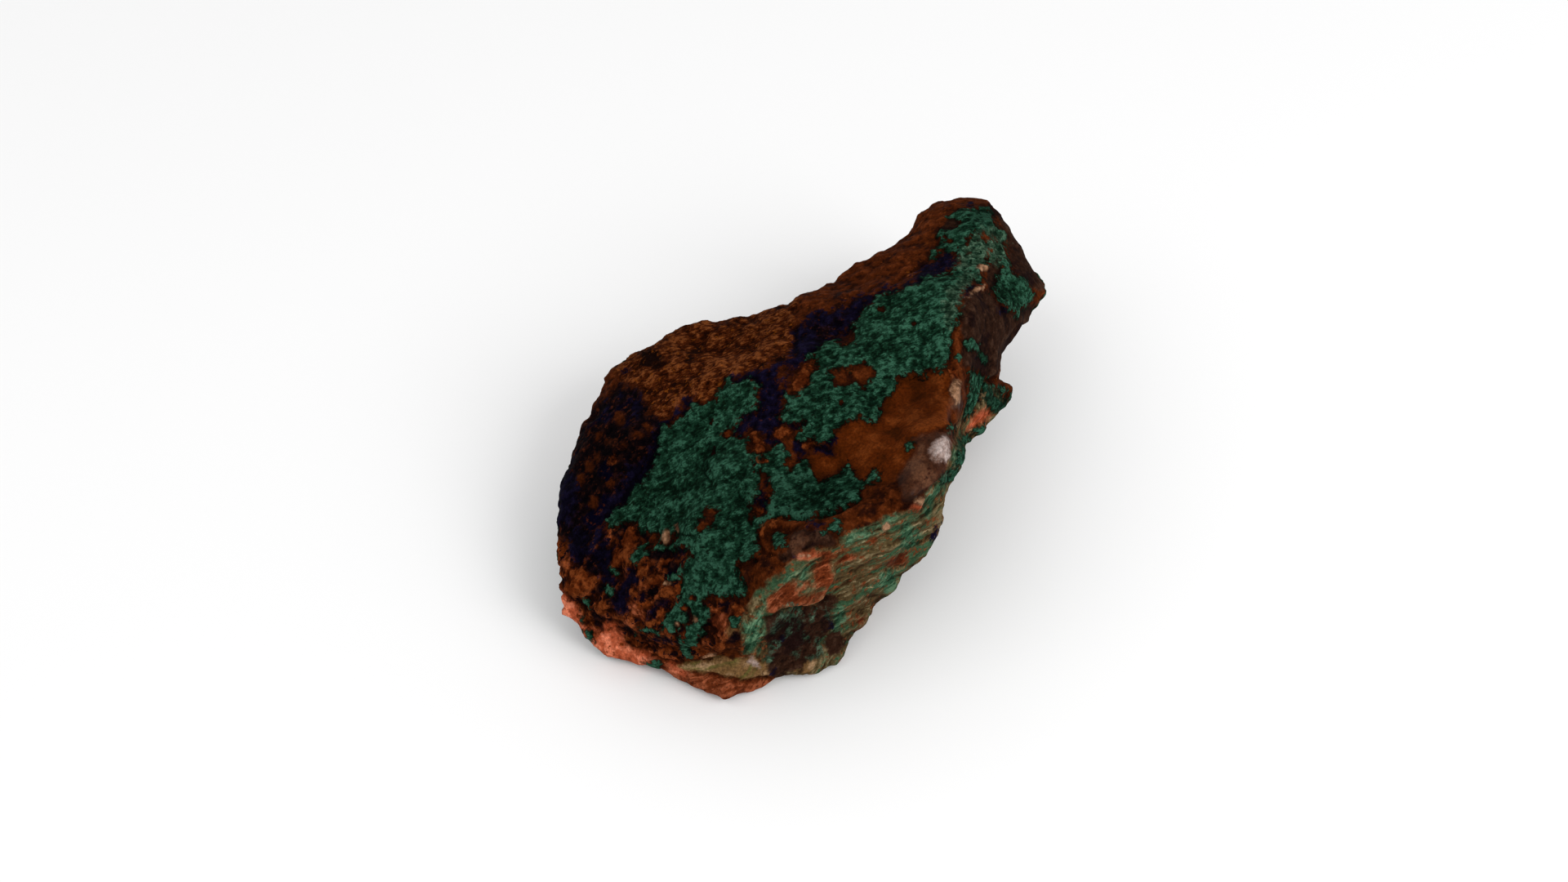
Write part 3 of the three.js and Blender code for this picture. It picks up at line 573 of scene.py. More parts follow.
SPOTS: dict[Mineral, tuple[Spot, ...]] = {
    Mineral.MALACHITE: (
        Spot(-25.2, -19.3, 0.9, 0.7), Spot(-26, -22.4, 1.1, 0.6, -50),
        Spot(-29.4, -24.6, 0.9, 0.4, -60), Spot(-20, -28.3, 1.8, 0.5), Spot(-29.2, -29, 1, 0.5, -50),
        Spot(-19.4, -33.4, 1.1, 0.4, -15), Spot(28, 14.3, 1.3, 0.7, -15),
        Spot(29.6, 12.4, 1.2, 0.5, -60), Spot(26.1, 12.3, 0.5, 0.5), Spot(-18.4, -15.9, 1.5, 0.6, 10),
        Spot(-16.5, -20.3, 0.8, 0.6), Spot(24.9, 1.9, 0.6, 0.7), Spot(18.9, -0.9, 0.8, 0.5, 50),
        Spot(29, 1.7, 1.1, 0.5, 25), Spot(-7.3, -26.8, 0.9, 1), Spot(-29.8, -26.4, 0.3, 1.1),
        Spot(2.6, 0.6, 0.9, 0.7), Spot(-15, -19.4, 0.6, 0.9), Spot(24.3, -5.2, 1.6, 0.7, 35),
        Spot(26.2, -2.2, 0.6, 1.6, -20), Spot(27, 0.4, 0.5, 0.9, -30),
    ),
    Mineral.AZURITE: (
        Spot(2.2, -1.2, 0.9, 1.3), Spot(-19.2, -25.6, 1.2, 0.5, 50), Spot(-28, -14.6, 2, 0.8, 50),
        Spot(-26.6, -17.6, 1.8, 0.9, 60), Spot(-29.4, -16.4, 1.4, 1.1, 40),
        Spot(-26.4, -20.6, 1.5, 0.6, -20), Spot(-17.3, -29.7, 0.6, 0.4),
        Spot(-10.9, -16.5, 0.5, 0.25, 20), Spot(27.9, 22.9, 1.1, 0.5, 40), Spot(27.3, 22.2, 0.5, 0.6),
        Spot(32.8, 19.8, 0.5, 0.8), Spot(27.8, 35.2, 0.6, 0.5), Spot(29.4, 6.6, 0.4, 0.7, -20),
        Spot(28.7, 12.5, 0.3, 0.5), Spot(6.9, -27.2, 0.5, 0.5), Spot(22.4, -14, 0.5, 1.2, -25),
        Spot(4.8, -12.7, 0.9, 0.5), Spot(-0.1, -29.4, 0.5, 0.3), Spot(-26.5, 5, 0.4, 1.1),
        Spot(-3.4, -7.6, 0.5, 0.5), Spot(-24.4, 6.9, 0.4, 0.8), Spot(-22, 5, 0.7, 1.6),
        Spot(-23.7, 10.5, 0.5, 0.3, 30), Spot(-31, -16.6, 0.9, 0.7), Spot(-26.6, -16, 0.5, 1.6),
        Spot(-15.4, -16, 0.8, 0.6), Spot(-16.2, -17.2, 0.7, 0.4), Spot(28, 31.4, 0.9, 0.35, 40),
        Spot(-1.6, -34.4, 0.4, 0.4), Spot(1.4, -17, 0.6, 0.4),
    ),
    Mineral.MIXED: (
        Spot(-18.8, -17, 2.6, 1, 12), Spot(-16.6, -19.6, 1, 1.5), Spot(-20, -22.6, 1.8, 0.7, 25),
        Spot(-21.7, -20.4, 0.6, 1.1, -10), Spot(-27.4, -22, 0.8, 1.2, -30),
        Spot(-25.8, -24.2, 0.8, 0.6), Spot(-18.2, -24, 1.2, 0.5, 30), Spot(-22.8, -28, 1.4, 0.5, -20),
        Spot(-18.8, -29.4, 1.4, 0.6, 10), Spot(-24.6, -13, 0.5, 1.3, -10),
        Spot(-20.6, -14.2, 1, 0.5, 20), Spot(-7.4, -29.4, 0.8, 0.9), Spot(-28.2, -18.6, 1.4, 1, 20),
        Spot(-28.2, -26, 0.6, 1.2, 20), Spot(-14.6, -26.2, 0.5, 1),
    ),
    Mineral.DARK: (Spot(24.8, 32.2, 1.4, 0.9, 30), Spot(31.3, 24.6, 1.1, 2.8), Spot(7.6, -30, 1.4, 1.8, -20)),
    Mineral.QUARTZ: (Spot(25.4, 6.9, 0.9, 2.2, 5), Spot(2.2, -15.2, 1.8, 1.2, 60)),
    Mineral.MILKY: (
        Spot(-4.5, -33.1, 0.9, 0.5, -40),
    ),
    Mineral.GOLDEN: (Spot(-28.2, -14.8, 0.6, 1.8, -25), Spot(19, 25, 0.7, 0.7)),
    Mineral.RUST: (
        Spot(-23.2, -15.6, 1.3, 3, -12), Spot(-8.4, 1.1, 0.7, 0.55), Spot(-4.3, 0.5, 0.55, 1.3, 25),
        Spot(-3.6, -1, 0.9, 0.8), Spot(-0.2, 1.2, 1.1, 0.9), Spot(3.7, -0.6, 1, 0.6, 15),
        Spot(-3.3, -2.9, 0.6, 0.5), Spot(-2.2, -8.2, 0.6, 0.5), Spot(-3.8, -10.6, 0.7, 0.45),
        Spot(2.8, 9.4, 1.1, 2.2, -25), Spot(-19, -20.6, 1, 0.7, 20), Spot(-17.2, -22.8, 0.9, 0.6),
        Spot(-26.8, -24.6, 1.1, 0.8, 30), Spot(-18.4, -25.7, 0.6, 0.8), Spot(-20.9, -19.5, 1.1, 0.8),
        Spot(-28.6, -21.4, 1, 0.8), Spot(-24.6, -26.4, 0.8, 0.6, 30), Spot(-19.8, -27, 0.8, 0.5),
        Spot(-16.8, -30.6, 0.9, 0.5, -20), Spot(-29.2, -26.4, 0.6, 1, 20),
        Spot(-17.4, -18, 0.9, 0.4, 20), Spot(-22.4, -22.4, 0.5, 0.7), Spot(-12, -31, 1.2, 0.5, 15),
        Spot(-7, -25.4, 1, 0.8, 30), Spot(-6.4, -30.6, 0.5, 0.8), Spot(-1.6, -12.4, 1.4, 0.35, 40),
        Spot(-3, -13.8, 0.4, 0.7, -20), Spot(-25.6, -2.8, 0.5, 0.8, -30), Spot(25.4, 9, 0.6, 1.6, 10),
        Spot(-22.2, -30, 1.5, 0.7, -20), Spot(-9.6, -30.4, 0.7, 1, -15),
        Spot(-24.8, -17.4, 0.7, 1.6, -10), Spot(-30.4, -21.2, 2.2, 1.7, 30),
    ),
    Mineral.RED: (
        Spot(9, -17.6, 1.8, 0.4, 30), Spot(11.5, -26.6, 0.8, 0.5, 30), Spot(13.4, -14.9, 0.5, 0.4),
        Spot(-24.5, -2.4, 0.6, 0.7), Spot(-25.3, -3.4, 0.4, 0.9, 20), Spot(-21.4, -26, 1.4, 0.7, -40),
        Spot(-22.8, -24.4, 0.9, 0.8), Spot(-23.8, -27.4, 1.2, 0.7, 20),
        Spot(-9.4, -27.4, 1.2, 1.4, -30),
    ),
    Mineral.PINK: (
        Spot(-25.8, -28.8, 1.4, 1), Spot(19.9, -9.5, 0.6, 0.9, -20), Spot(3.2, -17, 1.3, 0.55, 12),
        Spot(-26, -27.6, 1.1, 0.6, 20), Spot(-31.6, -21.6, 0.5, 0.6),
    ),
    Mineral.WORN: (
        Spot(0.1, -26, 0.35, 1.2, -8), Spot(1, -26.2, 0.3, 1.3, -5), Spot(1.9, -25.6, 0.3, 0.9),
        Spot(2.7, -25.4, 0.3, 0.6, 10), Spot(-1.5, -28, 0.4, 0.6, -20), Spot(-1.4, -30.6, 0.7, 0.5, 20),
        Spot(5.4, -30.8, 0.45, 1, -20), Spot(5.1, -29.6, 0.3, 0.6, 10), Spot(3.1, -29.3, 0.4, 0.5),
        Spot(0.8, -28.2, 0.3, 0.6, -15), Spot(1.8, -31.6, 0.4, 0.5, 30), Spot(6.4, -25.4, 0.3, 0.7, 15),
        Spot(2.4, -27.4, 0.3, 0.7, -10), Spot(4.4, -26, 0.25, 0.7, -15), Spot(-2, -32.4, 0.4, 0.4),
        Spot(4.2, -32.2, 0.5, 0.3, 30),
    ),
    # small crystals that stand on the rest
    Mineral.CRYSTAL: (
        Spot(19.9, -8.8, 0.6, 0.7, -20), Spot(-17.5, -14.6, 0.55, 0.9, -5),
        Spot(-15.8, -13.2, 0.35, 0.45), Spot(28.6, 22.3, 1.1, 0.4, 35),
        Spot(29.7, 25.8, 0.8, 0.45, -10), Spot(-16, -27.5, 0.4, 0.35),
        Spot(-17.4, -21.2, 0.6, 0.35, 15), Spot(25.4, 7.3, 0.75, 1.5, 5),
        Spot(-11.3, -31.9, 1.1, 0.3, 24), Spot(-13.4, -26.6, 0.4, 0.45), Spot(3, -17, 0.6, 0.25, 12),
        Spot(15.4, -12.8, 0.6, 0.45, 30),
    ),
}

# Small places inside the patches that show the rock instead.
GAPS: dict[Mineral, tuple[Spot, ...]] = {
    Mineral.MIXED: (
        Spot(-27.9, -2.6, 0.8, 0.6, 60), Spot(-22, 1, 0.8, 0.6), Spot(-20.3, 1.9, 0.7, 0.7, 60),
        Spot(-29, -3.6, 1, 0.6, 70), Spot(-26, -0.4, 0.6, 0.5), Spot(-27.6, 0.8, 0.8, 0.6, 45),
        Spot(-23.8, -0.5, 0.6, 0.5), Spot(-30.4, -6, 0.6, 0.9, -15), Spot(-26, -6.4, 0.7, 0.6),
        Spot(-28.4, -9.2, 0.6, 0.9), Spot(-24.6, 3.4, 0.7, 0.9, 20), Spot(-19.4, 4.8, 1.2, 0.7, 40),
    ),
    Mineral.MALACHITE: (
        Spot(-13.5, -23.3, 0.6, 0.5), Spot(-15.9, -27.7, 0.4, 0.4), Spot(-14.9, -28.6, 0.3, 0.6),
        Spot(-8.4, 1, 0.8, 0.7), Spot(-10.5, -1.6, 0.35, 0.6, -20), Spot(-14.6, -25.2, 0.3, 0.7, 20),
        Spot(-17.6, -15.4, 1.3, 0.5, 10), Spot(-16, -14.4, 0.8, 0.4, 40), Spot(-18.8, -14.4, 0.5, 0.7),
        Spot(27.6, 30, 0.9, 0.3, 45), Spot(30.3, 30.4, 1.4, 0.6, -10), Spot(30.5, 28.1, 0.6, 0.5, 40),
        Spot(27.8, 28.2, 0.5, 0.4), Spot(-12.6, -30, 0.4, 0.5), Spot(8.6, 5.4, 0.4, 0.3),
        Spot(-14.2, -25.9, 0.45, 1.1, 10), Spot(-15, -28, 0.5, 0.6), Spot(24.8, 32.2, 1.2, 0.8, 30),
        Spot(24.6, 29.8, 0.8, 0.5), Spot(-4.4, -3.6, 0.35, 0.35), Spot(14.4, 19.4, 0.5, 0.3),
        Spot(19.4, 17.4, 0.4, 0.5), Spot(-11, 2.6, 0.3, 0.4), Spot(31.4, 7.4, 0.9, 0.5, -30),
        Spot(32.7, 6.3, 0.8, 0.4, -30), Spot(33.4, 7.2, 0.4, 0.4),
    ),
    Mineral.WORN: (
        Spot(30.3, 30.4, 1.4, 0.6, -10), Spot(30.5, 28.1, 0.6, 0.5, 40), Spot(27.8, 28.2, 0.5, 0.4),
    ),
}

# Lumps, ridges and cracks of the side that the stone is shown from, in millimetres as seen.
MARKS: tuple[Mark, ...] = (
    # round lumps
    Mark(((-30.8, -21.8), (-30.4, -20.8)), 1.8, 1.0),
    Mark(((-31.6, -17.6), (-31.4, -16.8)), 1.2, 0.5),
    Mark(((-26.4, -28.8), (-25, -28.4)), 1.0, 0.6),
    Mark(((-22.8, -26.6), (-21.6, -25.2), (-19, -24)), 0.9, 0.5),
    Mark(((-23.2, -17.4), (-23, -14)), 1.2, 0.5),
    Mark(((-20.4, -19.8), (-19.2, -19.2)), 1.2, 0.5),
    Mark(((-26.8, -24.8), (-26.2, -24.6)), 0.9, 0.45),
    Mark(((-17.4, -22.6), (-16.4, -22.8)), 0.9, 0.45),
    Mark(((-28.8, -16.6), (-27.6, -13.6)), 0.6, 0.4),
    Mark(((-12.2, -12.6), (-10.8, -11.2)), 0.9, 0.35),
    Mark(((-5, -19.8), (-3, -19.2)), 2.0, 0.5),
    Mark(((2, -17.2), (4.2, -16.8)), 0.8, 0.6),
    Mark(((19.6, -10), (20.1, -8.6)), 0.6, 0.6),
    Mark(((23.2, -2), (23.4, -0.4)), 1.1, 0.8),
    Mark(((18.6, -7.4), (20, -4.4)), 1.3, 0.4),
    Mark(((25.3, 6.2), (25.5, 7.8)), 0.7, 0.45),
    Mark(((28.8, 22.6), (29.6, 23.2)), 0.6, 0.4),
    Mark(((29.6, 25.9), (30.4, 25.9)), 0.5, 0.35),
    Mark(((11.2, 10), (12.4, 10)), 1.1, 0.35),
    Mark(((8, 9.2), (8.8, 9.4)), 0.9, 0.3),
    Mark(((-12.6, 8.2), (-11.4, 9)), 1.3, 0.4),
    Mark(((-16.4, 6), (-15.8, 7)), 1.0, 0.4),
    Mark(((-10.4, -25.6), (-8.8, -26.4)), 1.2, 0.4),
    Mark(((-17.7, -14.6), (-17.5, -13.9)), 0.45, 0.4),
    Mark(((-24.5, -2.4), (-24.3, -2.4)), 0.45, 0.35),
    # ridges
    Mark(((-4.4, -24), (-1.8, -21.6), (1.6, -19.4), (5, -17)), 0.5, 0.45),
    Mark(((8.2, -15.4), (10.6, -14.2), (14, -13.8)), 0.4, 0.35),
    Mark(((0, -24.6), (4, -23.8), (5.4, -23), (6.6, -21), (7.4, -19.6)), 0.4, 0.5),
    Mark(((25.7, 16), (25.9, 11), (26.6, 6), (25.6, 3)), 0.45, 0.35),
    Mark(((-2.6, -12.8), (-0.6, -11.9), (1.2, -12.6), (4.6, -12.4)), 0.6, 0.4),
    Mark(((-3.4, -14), (-2.4, -13)), 0.5, 0.4),
    Mark(((12, -7.4), (15, -7.2), (17, -8.4)), 0.5, 0.3),
    Mark(((-12, -32), (-9.8, -31.6), (-8.8, -29)), 0.35, 0.3),
    # cracks and furrows
    Mark(((-2.4, -11.9), (-0.6, -11), (2, -11.9), (5, -11.4), (9, -9.9), (11.4, -8.4)), 0.35, -0.6),
    Mark(((-3.9, -14.4), (-3.1, -16.6), (0, -17.4)), 0.35, -0.4),
    Mark(((-4, -17.9), (-6.9, -19), (-6.6, -21.4)), 0.4, -0.4),
    Mark(((-32.8, -22.7), (-31, -23.8), (-30.2, -24.4)), 0.35, -0.5),
    Mark(((-29.9, -25), (-29.4, -27.4), (-28.6, -29)), 0.35, -0.45),
    Mark(((-24, -30), (-20, -32), (-16.4, -33.2), (-12.6, -33), (-9.8, -32.5)), 0.35, -0.45),
    Mark(((-14, -34.4), (-10.6, -34.9), (-6, -35.9), (-2.6, -35.4)), 0.3, -0.4),
    Mark(((-14.9, -14), (-13.4, -14.2), (-12.2, -13.6)), 0.3, -0.4),
    Mark(((1.7, 12.8), (1.8, 17)), 0.35, -0.25),
    Mark(((21.4, 27), (18.4, 25), (16, 23.6)), 0.3, -0.3),
    Mark(((31.6, 9.3), (30.2, 8.8), (28.9, 5.6), (28, 3.6)), 0.4, -0.7),
    Mark(((-2.9, -26.6), (1, -25.2), (4.4, -24.9), (6.2, -23.4)), 0.45, -0.6),
    Mark(((-24.6, -30.4), (-22.2, -29.6)), 0.3, -0.35),
    Mark(((-21.6, -27), (-21.8, -25.6), (-19.6, -24.6)), 0.3, -0.35),
    Mark(((-11, -6), (-12, -4.6), (-11, -4)), 0.3, -0.3),
    Mark(((17, -10.6), (19, -8.9), (20.6, -7.6), (22.6, -6.6)), 0.35, -0.35),
)

# Swellings and hollows of the stone's rim, in millimetres as seen.
RIMS: tuple[Mark, ...] = (
    Mark(((-25.2, 11.4), (-22.4, 12.8)), 1.2, 0.85),
    Mark(((-14.6, 17.1), (-12.2, 17.6)), 1.5, 1.1),
    Mark(((-18.2, 15.8), (-17.4, 16)), 0.9, -0.5),
    Mark(((-7.4, 18.8), (-5, 19.2)), 1.9, -0.65),
    Mark(((2, 21.4), (6, 22.8)), 1.2, 0.5),
    Mark(((7.4, 24), (9, 25)), 1.3, -0.4),
    Mark(((11, 26.8), (13.8, 28.2)), 1.4, 0.85),
    Mark(((17.8, 31), (19.2, 32)), 1.3, -0.6),
    Mark(((20.4, 34), (22.4, 35.6)), 1.3, 0.1),
    Mark(((23.6, 35.6), (30, 35.8)), 1.3, 0.32),
    Mark(((31.8, 34.4), (32.8, 33)), 1.1, -0.5),
    Mark(((34.2, 30.8), (35.4, 28.6)), 1.2, -0.1),
    Mark(((38.9, 23), (38.9, 22.4)), 0.8, 0.35),
    Mark(((36, 17.6), (35, 16.4), (32.6, 13.8), (31.8, 10.8)), 1.4, 0.95),
    Mark(((35.5, 17.8), (33.8, 15.6)), 1.0, 1.0),
    Mark(((32.9, 13.8), (32.6, 13)), 0.7, -0.3),
    Mark(((33.4, 8.6), (33.2, 7.8)), 0.9, 0.7),
    Mark(((31.8, 8.8), (32.4, 8.8)), 0.8, 0.4),
    Mark(((33, 4.8), (32.4, 4.2)), 0.9, -0.45),
    Mark(((29.2, 0.9), (28.4, 0.2)), 0.9, -0.2),
    Mark(((25.8, -0.2), (25.7, -0.9)), 1.1, 1.4),
    Mark(((25.6, -2.4), (25.4, -3.6)), 0.9, 1.0),
    Mark(((25.2, -6.8), (24.8, -8.6)), 1.1, -0.4),
    Mark(((23.2, -11.8), (22.6, -13.6)), 1.1, 0.35),
    Mark(((18.6, -19), (17.8, -19.8)), 1.0, -0.5),
    Mark(((16.8, -21), (15.4, -22.6)), 0.9, 0.35),
    Mark(((14.6, -23.6), (14, -24.6)), 1.3, -0.7),
    Mark(((12.2, -26.4), (11.8, -26.9)), 0.8, 0.4),
    Mark(((10.6, -29.2), (10, -30)), 0.9, -0.45),
    Mark(((9, -31.2), (7.6, -32.8)), 0.9, 0.4),
    Mark(((7.6, -32), (3.7, -34.2), (-2, -34.6)), 1.5, 0.75),
    Mark(((4.4, -34.2), (3.2, -34.6)), 0.8, 0.55),
    Mark(((-3.4, -36.4), (-2.4, -36)), 0.8, 0.4),
    Mark(((-8.8, -38.2), (-8.8, -37.8)), 1.4, 0.8),
    Mark(((-19.9, -34.1), (-18.4, -34.5)), 1.1, -0.7),
    Mark(((-28.2, -30.4), (-26, -31.6)), 1.1, 0.8),
    Mark(((-30.4, -27.4), (-31.6, -26.2)), 0.9, 0.2),
    Mark(((-32.8, -24), (-32, -25.2)), 1.2, 2.0),
    Mark(((-33.8, -21.4), (-33.9, -22.6)), 0.9, -0.7),
    Mark(((-34, -15.6), (-34.1, -16.4)), 0.8, -0.25),
    Mark(((-33.9, -19.2), (-33.9, -19.8)), 0.8, -0.4),
    Mark(((-33.6, -13.6), (-33.6, -12)), 1.0, 0.3),
    Mark(((-34, -10), (-34, -8.8)), 0.9, -0.4),
    Mark(((-33.4, -8), (-33.2, -6.6)), 0.9, 0.3),
    Mark(((-27.8, 9), (-28.6, 5.4), (-29, 4.4)), 1.4, -0.95),
    Mark(((-30.8, 1), (-31.2, 0.4)), 1.0, -0.4),
    Mark(((-32.6, -0.8), (-33, -3)), 1.4, -1.1),
)

# Lighter and darker areas of the side that the stone is shown from: painted light and shade, partly also the
# stone's own lighter and darker colour.
LIGHT_AND_TONES: tuple[LightAndTone, ...] = (
    # the crusts
    LightAndTone(Spot(3, -7.8, 8, 4, 10), -0.3),
    LightAndTone(Spot(-10, -19, 3.4, 4, 20), -0.16),
    LightAndTone(Spot(18, 17, 8, 5, 45), 0.22),
    LightAndTone(Spot(34, 22.6, 2.6, 2.6), 0.22),
    LightAndTone(Spot(30, 28, 2.6, 2.2), 0.3),
    LightAndTone(Spot(29.4, 33.4, 2.4, 1.2), -0.45),
    LightAndTone(Spot(24.2, 29.6, 1.4, 1.6), -0.15),
    LightAndTone(Spot(28.6, 8, 1, 3, -15), 0.25),
    LightAndTone(Spot(-2, 5, 2.4, 5), -0.05),
    LightAndTone(Spot(-8, -10, 3, 2), 0.1),
    LightAndTone(Spot(-13, 1, 3, 2, 40), 0.12),
    LightAndTone(Spot(-30, -7, 4, 7, -20), -0.35),
    LightAndTone(Spot(-21.6, -3, 2, 4, -30), -0.4),
    LightAndTone(Spot(-29.4, -15, 3, 3), -0.35),
    LightAndTone(Spot(-25.6, -1, 4, 5), -0.45),
    LightAndTone(Spot(-23, 5, 3, 2.4, 30), -0.1),
    # the rock
    LightAndTone(Spot(21, 5.6, 3.2, 3.6), -0.25),
    LightAndTone(Spot(16.4, -8.8, 3.4, 1.6, -10), -0.25),
    LightAndTone(Spot(2.4, -14.8, 2, 1.2), -0.2),
    LightAndTone(Spot(-3, -19.6, 2.6, 1.6), -0.15),
    LightAndTone(Spot(31, 16.6, 4, 5), -0.14),
    LightAndTone(Spot(-1.2, -27.4, 1.5, 1.8), -0.45),
    LightAndTone(Spot(-21, -21, 4, 3), -0.15),
    LightAndTone(Spot(-18.4, -25.6, 0.7, 0.7), 0.3),
    LightAndTone(Spot(-30.4, -21, 2.4, 2), 0.12),
    LightAndTone(Spot(-11.3, -31.9, 1.2, 0.4, 24), 0.5),
    LightAndTone(Spot(-4, -0.2, 1.4, 2), -0.25),
    LightAndTone(Spot(3.6, -0.6, 1.2, 0.8), -0.25),
    LightAndTone(Spot(2.8, 9.6, 1.6, 2.4), -0.2),
    LightAndTone(Spot(-20, 13.6, 7, 1.6, 30), -0.25),
    LightAndTone(Spot(-3, 17.6, 6, 1.4, 15), -0.15),
    LightAndTone(Spot(12, 27, 8, 1.6, 35), -0.12),
    LightAndTone(Spot(26, 33.6, 3, 1.2), 0.15),
    LightAndTone(Spot(21, 32.2, 2.4, 1.8, 30), 0.14),
    LightAndTone(Spot(36.4, 26, 1, 4, -30), -0.2),
    # the side wall and the foot
    LightAndTone(Spot(31.6, 6.6, 2, 1.6), -0.3),
    LightAndTone(Spot(28.2, 2.2, 1.4, 0.8, 40), 0.5),
    LightAndTone(Spot(22.4, 8.6, 0.8, 1.6, -10), -0.3),
    LightAndTone(Spot(11.6, -22.6, 2.4, 2.4, 40), -0.2),
    LightAndTone(Spot(9.4, -28.6, 1.8, 2.6, -20), -0.28),
    LightAndTone(Spot(20.4, -11.6, 1.4, 1.4), -0.3),
    LightAndTone(Spot(25.8, -1.4, 0.8, 1.8, -20), -0.3),
    LightAndTone(Spot(-4.6, -28.6, 1.2, 2.4), 0.3),
    LightAndTone(Spot(6, -20, 1, 1.6), 0.25),
    LightAndTone(Spot(-25, -30.6, 5, 1.6, -25), 0.1),
    LightAndTone(Spot(-12, -36, 6, 1.6, -15), 0.1),
)

# The crest above the side wall, which the beds of the wall run beside.
CREST: Outline = (
    (30, 24), (26.4, 19), (25.6, 14), (26.2, 6), (25, -1), (23.6, -5.4), (20, -9.6), (14.4, -12.6),
    (8.4, -15), (3.6, -17.4), (-1.6, -21), (-4.6, -25), (-6.4, -29), (-8, -32.4), (-14, -33.8),
    (-20, -32), (-26, -28.4), (-32, -23), (-38, -14),
)


@dataclass(frozen=True)
class Wild:
    """How a mineral grows where nothing is drawn.

    Its patches are about size across, in millimetres, and cover a share of the stone. The
    steepness says how fast a patch gets deeper from its edge inwards.
    """

    size: float
    share: float
    seed: float
    steepness: float = 0.35

    def depth(self, points: Array) -> Array:
        """Returns how many millimetres places, in millimetres, lie inside the mineral."""
        grown = rough(points, self.size, self.seed)
        return self.size * self.steepness * (grown - np.quantile(grown, 1 - self.share))


WILD: dict[Mineral, Wild] = {
    Mineral.OCHRE: Wild(22, 0.35, 3.1),
    Mineral.GOLDEN: Wild(17, 0.2, 7.7),
    Mineral.HOLLOW: Wild(19, 0.15, 12.4),
    Mineral.WALL: Wild(26, 0.25, 23.5),
    Mineral.GREEN_BEDS: Wild(9, 0.06, 27.4),
    Mineral.RED: Wild(15, 0.08, 34.1),
    Mineral.PINK: Wild(10, 0.03, 37.8),
    Mineral.PALE: Wild(12, 0.03, 31.2),
    Mineral.DARK: Wild(15, 0.15, 18.9),
    Mineral.MIXED: Wild(15, 0.12, 40.9),
    Mineral.AZURITE: Wild(11, 0.1, 44.6),
    Mineral.MALACHITE: Wild(16, 0.28, 52.3),
    Mineral.WORN: Wild(8, 0.06, 57.7),
    Mineral.RUST: Wild(7, 0.03, 59.2),
    Mineral.QUARTZ: Wild(7, 0.03, 61.9),
    Mineral.MILKY: Wild(5, 0.006, 66.3),
    Mineral.CRYSTAL: Wild(3, 0.004, 69.1),
}


# ---- finishes -----------------------------------------------------------------------------


def paint(red: int, green: int, blue: int) -> Colour:
    """Turns a colour as it is seen on a screen into the one that a shader takes.

    The numbers are those of the curve that screens share.

    Args:
        red: The share of red, 0 to 255.
        green: The share of green.
        blue: The share of blue.

    Returns:
        The linear colour, each share 0 to 1, and 1 for solid.
    """
    seen = [value / 255 for value in (red, green, blue)]
    linear = [v / 12.92 if v <= 0.04045 else ((v + 0.055) / 1.055) ** 2.4 for v in seen]
    return (*linear, 1.0)


class Pattern(Enum):
    """The patterns that break up the colours of the surface."""

    FINE = "fine"
    GRAIN = "grain"
    SPECKS = "specks"
    BROAD = "broad"
    COMBED = "combed"
    NEEDLES = "needles"
    BEDS = "beds"
    BANDS = "bands"


@dataclass(frozen=True)
class Grain:
    """A pattern's noise: how many bumps a metre holds, how many finer sizes follow, how strong."""

    scale: float
    detail: float
    roughness: float


GRAINS: dict[Pattern, Grain] = {
    Pattern.FINE: Grain(2800.0, 2.0, 0.6),
    Pattern.GRAIN: Grain(950.0, 5.0, 0.68),
    Pattern.SPECKS: Grain(1100.0, 4.0, 0.62),
    Pattern.BROAD: Grain(220.0, 4.0, 0.6),
    Pattern.COMBED: Grain(2000.0, 5.0, 0.82),
    Pattern.NEEDLES: Grain(2800.0, 3.0, 0.7),
    Pattern.BEDS: Grain(2200.0, 4.0, 0.62),
    Pattern.BANDS: Grain(620.0, 3.0, 0.6),
}


@dataclass(frozen=True)
class Veil:
    """A second colour, shown in part of a mineral: none where the pattern is at start, all at full."""

    colour: Colour
    pattern: Pattern
    start: float
    full: float


@dataclass(frozen=True)
class Finish:
    """How a mineral looks. Sizes and heights are in millimetres.

    Its pattern runs from the dark colour over the body to the light one. The field of a mineral
    is frayed by ragged, fades over edge, and is broken by gaps, where the rock beneath shows. Its
    rim is darker by the share that shadow says.
    """

    dark: Colour
    body: Colour
    light: Colour
    pattern: Pattern
    contrast: float = 1.0
    mottle: float = 0.5
    bump: float = 0.15
    roughness: float = 0.8
    gloss: float = 0.0
    ragged: float = 0.6
    edge: float = 0.25
    gaps: float = 0.0
    shadow: float = 0.0
    lumps: float = 0.1
    knobs: float = 0.0
    folds: float = 0.0
    raised: float = 0.0
    veils: tuple[Veil, ...] = ()


ROCK = Finish(
    paint(34, 11, 3), paint(59, 23, 5), paint(84, 38, 14), Pattern.GRAIN, contrast=0.8,
    bump=0.18, lumps=0.2, knobs=0.25,
    veils=(
        Veil(paint(28, 9, 5), Pattern.BROAD, 0.44, 0.34),
        Veil(paint(82, 39, 12), Pattern.SPECKS, 0.6, 0.72),
    ),
)

